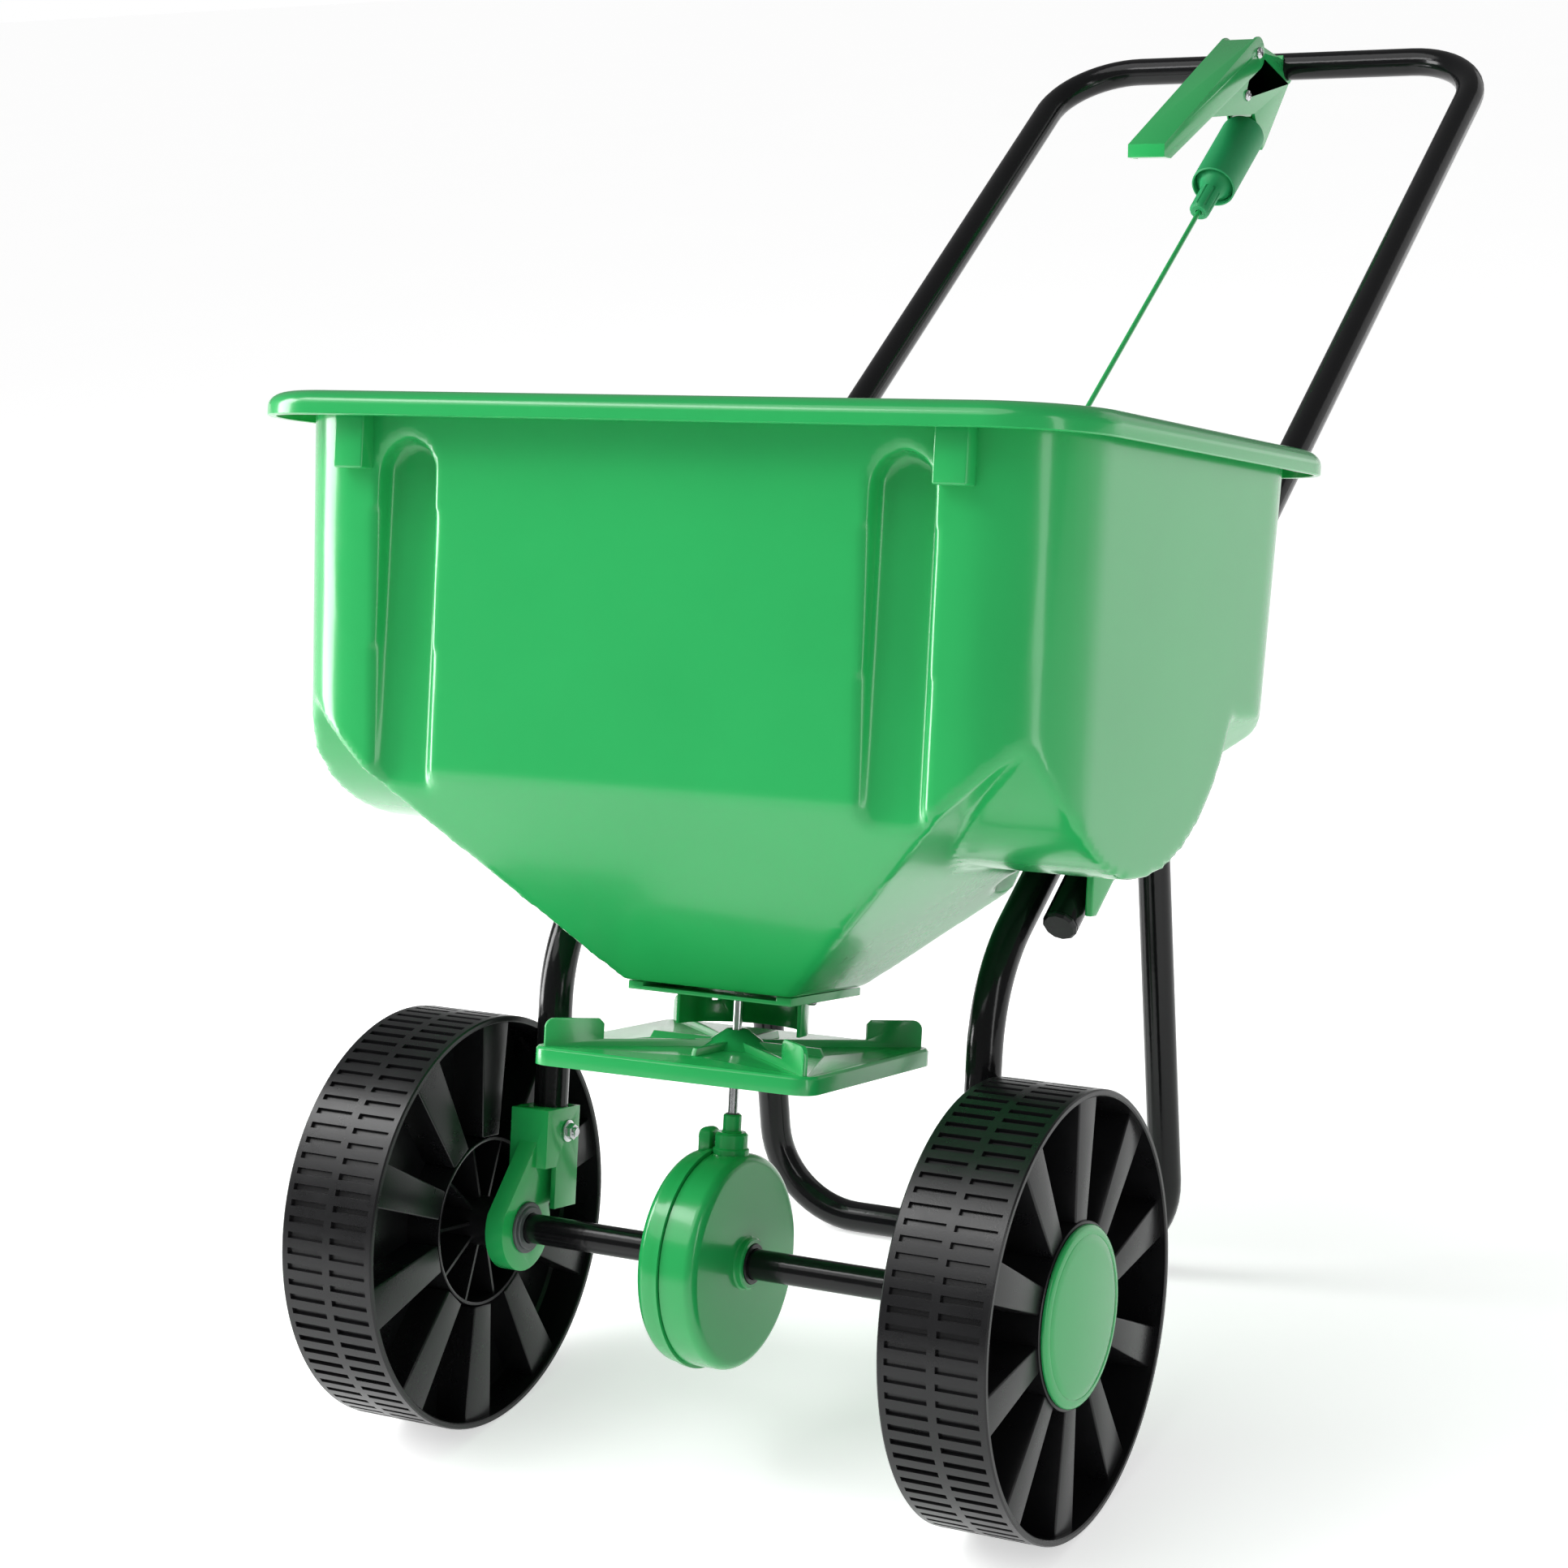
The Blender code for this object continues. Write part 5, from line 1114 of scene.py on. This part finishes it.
def grip_sleeve():
    top = SLEEVE_FOOT + SLEEVE_LENGTH
    radius, inside = SLEEVE_RADIUS, SLEEVE_RADIUS - SLEEVE_WALL
    profile = [(0.0069, top)] + arc((radius - 0.0045, top - 0.0045), 0.0045, 90, 0, 6)
    profile += [(radius, SLEEVE_FOOT + 0.0006), (radius - 0.0006, SLEEVE_FOOT)]
    profile += [(inside + 0.0003, SLEEVE_FOOT), (inside, SLEEVE_FOOT + 0.0004)]
    profile += [(inside, top - 0.003), (0.0069, top - 0.003)]
    return smooth(turned("sleeve", profile, 96, True), 38)


class SPREADER_OT_control(bpy.types.Operator):
    """Model the hand lever, its bracket, the sleeve, the nozzle and the thin rod"""

    bl_idname = "spreader.control"
    bl_label = "Hand control"

    def execute(self, context):
        softened_copy("control_lever", "lever_moulding", "green_plastic", 0.0007, 3)
        softened_copy("control_bracket", "bracket_moulding", "green_plastic", 0.0006, 3)
        line = Matrix.Translation(on_rod(0)) @ facing((0, *RUN))
        stands_for(settle(fluted_nozzle(), line), "knob_plastic", "rate_nozzle")
        stands_for(settle(grip_sleeve(), line), "knob_plastic", "rate_sleeve")
        crank, bend = on_rod(ROD_PIN), on_rod(ROD_BEND_AT)
        hook = span("control_rod")[1].x
        foot = Vector((0, *HOOK_AT))
        corners = [(hook, crank.y, crank.z), crank, bend, foot, (hook, foot.y, foot.z)]
        rod = tube("thin_rod", bent_route(corners, 0.003, 6), ROD_RADIUS, 0, 6)
        stands_for(rod, "green_plastic", "control_rod")
        return {"FINISHED"}


# ---- Fasteners and bushes ----


def pan_screw(name, head, direction, head_radius, shank, length):
    """A pan-head screw with a cross recess; head is where its head seats."""
    tall = head_radius * 0.6
    profile = [(0.0, tall), (head_radius * 0.45, tall * 0.96), (head_radius * 0.78, tall * 0.74)]
    profile += [(head_radius * 0.95, tall * 0.4), (head_radius, 0.0), (shank, 0.0)]
    profile += [(shank, -length + 0.0004), (shank - 0.0004, -length), (0.0, -length)]
    screw = turned(name, profile, 40)
    arm, slot = head_radius * 0.52, head_radius * 0.13
    cross = [block("recess", (-arm, -slot, tall * 0.35), (arm, slot, tall + 0.002)),
             block("recess", (-slot, -arm, tall * 0.35), (slot, arm, tall + 0.002))]
    cut(screw, *cross)
    settle(screw, Matrix.Translation(head) @ facing(direction))
    return smooth(screw, 30)


def flange_nut(name, seat, direction, flats):
    """A hexagon nut on its round flange, with the bolt's end standing out of it."""
    bore, wide = BOLT_RADIUS + 0.0004, flats * 1.32
    rings = [(bore, 0.0), (wide, 0.0), (wide, 0.0006), (flats * 1.05, 0.0014), (bore, 0.0014)]
    low = turned("flange", rings, 40, True)
    rings = [(bore, 0.001), (flats, 0.001), (flats, 0.0044), (flats * 0.9, 0.005), (bore, 0.005)]
    flat = turned("hexagon", rings, 6, True)
    smooth(low, 40)
    smooth(flat, 20)
    nut = joined(low, flat)
    nut.name = name
    return settle(nut, Matrix.Translation(seat) @ facing(direction))


def outwards(side, cad):
    """Where a CAD node ends along X, away from the middle first."""
    low, high = span(cad)
    return (high.x, low.x) if side > 0 else (low.x, high.x)


def bolt_and_nut(side, bolt_cad, nut_cad):
    low, high = span(bolt_cad)
    outer, inner = outwards(side, bolt_cad)
    seat = outer - side * BOLT_HEAD_TALL
    middle = ((low.y + high.y) / 2, (low.z + high.z) / 2)
    bolt = pan_screw(bolt_cad + "_head", (seat, *middle), (side, 0, 0), BOLT_HEAD, BOLT_RADIUS,
                     abs(seat - inner))
    stands_for(bolt, "zinc_steel", bolt_cad)
    seat = outwards(side, nut_cad)[0]
    nut = flange_nut(nut_cad + "_hex", (seat, *middle), (-side, 0, 0), NUT_FLATS)
    stands_for(nut, "zinc_steel", nut_cad)


def axle_bush(side, cad):
    """A bush with a flange and a collar on its inner end."""
    outer, flange = outwards(side, cad)
    bore, lip, length = AXLE_RADIUS + BORE_ROOM, 0.0132, abs(outer - flange)
    profile = [(bore, 0.0), (lip, 0.0), (lip + 0.0006, 0.0006), (lip + 0.0006, 0.0014)]
    profile += [(BUSH_FLANGE - 0.0006, 0.0014), (BUSH_FLANGE, 0.002), (BUSH_FLANGE, 0.0035)]
    profile += [(BUSH_RADIUS, 0.0035), (BUSH_RADIUS, length), (bore, length)]
    bush(side, cad, flange, profile, 64, "grey_bush")


def gearbox_bush(side, cad):
    outer, inner = outwards(side, cad)
    bore, length = AXLE_RADIUS + BORE_ROOM, abs(outer - inner)
    profile = [(bore, 0.0), (BUSH_RADIUS, 0.0), (BUSH_RADIUS, length - 0.0004)]
    profile += [(BUSH_RADIUS - 0.0004, length), (bore, length)]
    bush(side, cad, inner, profile, 48, "black_plastic")


def bush(side, cad, at, profile, steps, finish):
    ring = smooth(turned(cad + "_ring", profile, steps, True), 30)
    settle(ring, Matrix.Translation((at, 0, 0)) @ facing((side, 0, 0)))
    stands_for(ring, finish, cad)


class SPREADER_OT_fasteners(bpy.types.Operator):
    """Model the visible screws, bolts, nuts and bushes"""

    bl_idname = "spreader.fasteners"
    bl_label = "Fasteners"

    def execute(self, context):
        for cad in ("lever_pivot_screw", "bracket_screw"):
            low, high = span(cad)
            seat = high.x - SCREW_HEAD_TALL
            head = (seat, (low.y + high.y) / 2, (low.z + high.z) / 2)
            screw = pan_screw(cad + "_head", head, (1, 0, 0), SCREW_HEAD, SCREW_RADIUS,
                              seat - low.x)
            stands_for(screw, "zinc_steel", cad)
        for side, which in ((1, "left"), (-1, "right")):
            for kind in ("frame", "stand", "bracket"):
                bolt_and_nut(side, kind + "_bolt_" + which, kind + "_nut_" + which)
            axle_bush(side, "axle_bush_" + which)
            gearbox_bush(side, "gearbox_bush_" + which)
        return {"FINISHED"}


# ---- What stays as the CAD has it ----


class SPREADER_OT_inner_parts(bpy.types.Operator):
    """Give every CAD part that is still shown its finish"""

    bl_idname = "spreader.inner_parts"
    bl_label = "Inner parts"

    def execute(self, context):
        slots = {row["node"]: row["material_slot"] for row in frame["record"]["subparts"]}
        for name, node in frame["nodes"].items():
            if not node.hide_render:
                paint(node, slots[name])
        return {"FINISHED"}


# ---- Stage ----


def soft_light(name, at, aim, size, power):
    light = bpy.data.lights.new(name, "AREA")
    light.shape = "RECTANGLE"
    light.size, light.size_y = size
    light.energy = power
    obj = linked(name, light)
    obj.location = at
    obj.rotation_euler = (Vector(aim) - Vector(at)).to_track_quat("-Z", "Y").to_euler()


def sun(name, direction, power):
    light = bpy.data.lights.new(name, "SUN")
    light.energy = power
    light.angle = radians(SUN_SPREAD)
    obj = linked(name, light)
    obj.rotation_euler = Vector(direction).to_track_quat("Z", "Y").to_euler()


def white_room(scene):
    """A room that looks white, and lights the object less than it looks."""
    world = bpy.data.worlds.new("studio")
    scene.world = world
    world.use_nodes = True
    nodes, links = world.node_tree.nodes, world.node_tree.links
    seen = nodes.new("ShaderNodeLightPath").outputs["Is Camera Ray"]
    blend = nodes.new("ShaderNodeMix")
    blend.inputs["A"].default_value = ROOM_LIGHT
    blend.inputs["B"].default_value = 1.0
    links.new(seen, blend.inputs["Factor"])
    sky = nodes["Background"]
    sky.inputs["Color"].default_value = (1, 1, 1, 1)
    links.new(blend.outputs["Result"], sky.inputs["Strength"])


def camera():
    """A long lens in front of the near wheel's side, at the height of the handle."""
    data = bpy.data.cameras.new("camera")
    data.sensor_width = 36.0
    data.lens = LENS
    obj = linked("camera", data)
    eye = STANCE @ (EYE * WHEEL_RADIUS)
    turn = STANCE.to_3x3()
    forward = (turn @ LOOK).normalized()
    right = turn @ LOOK_RIGHT
    right = (right - forward * right.dot(forward)).normalized()
    up = right.cross(forward)
    basis = Matrix((right, up, -forward)).transposed().to_4x4()
    obj.matrix_world = Matrix.Translation(eye) @ basis
    bpy.context.scene.camera = obj


class SPREADER_OT_stage(bpy.types.Operator):
    """Set the plain pale floor, the soft studio light and the camera"""

    bl_idname = "spreader.stage"
    bl_label = "Stage"

    def execute(self, context):
        floor = primitive("plane", "floor", size=60, location=(0, 0, -0.0005))
        pale = Finish("pale_floor")
        tone = pale.tint(pale.noise(1.5), (0.88, 0.88, 0.88), (0.9, 0.9, 0.9))
        pale.set(Base_Color=tone, Roughness=0.7)
        pale.set(Emission_Color=(1.0, 1.0, 1.0, 1.0), Emission_Strength=FLOOR_GLOW)
        floor.data.materials.append(pale.material)
        white_room(context.scene)
        sun("sky", SUN_FROM, SUN_POWER)
        for light in SOFTBOXES:
            soft_light(*light)
        camera()
        context.scene.view_settings.view_transform = "Standard"
        return {"FINISHED"}


# ---- Add-on ----


class SPREADER_PT_panel(bpy.types.Panel):
    bl_label = "Garden Spreader"
    bl_idname = "SPREADER_PT_panel"
    bl_space_type = "VIEW_3D"
    bl_region_type = "UI"
    bl_category = "Spreader"

    def draw(self, context):
        for name, _ in SETTINGS:
            group = getattr(context.scene, name)
            box = self.layout.box()
            for key in group.__annotations__:
                box.prop(group, key)
        for operator in OPERATORS:
            self.layout.operator(operator.bl_idname)


SETTINGS = (
    ("spreader_finish", SpreaderFinish),
    ("spreader_wheels", SpreaderWheels),
    ("spreader_hopper", SpreaderHopper),
)
OPERATORS = (
    SPREADER_OT_stage,
    SPREADER_OT_hopper,
    SPREADER_OT_wheels,
    SPREADER_OT_tubes,
    SPREADER_OT_gearbox,
    SPREADER_OT_impeller,
    SPREADER_OT_brackets,
    SPREADER_OT_control,
    SPREADER_OT_fasteners,
    SPREADER_OT_inner_parts,
)


def register():
    for name, group in SETTINGS:
        bpy.utils.register_class(group)
        setattr(bpy.types.Scene, name, bpy.props.PointerProperty(type=group))
    for operator in OPERATORS:
        bpy.utils.register_class(operator)
    bpy.utils.register_class(SPREADER_PT_panel)


def unregister():
    bpy.utils.unregister_class(SPREADER_PT_panel)
    for operator in reversed(OPERATORS):
        bpy.utils.unregister_class(operator)
    for name, group in reversed(SETTINGS):
        delattr(bpy.types.Scene, name)
        bpy.utils.unregister_class(group)


def main():
    register()
    for operator in OPERATORS:
        group, name = operator.bl_idname.split(".")
        getattr(getattr(bpy.ops, group), name)()


if __name__ == "__main__":
    main()
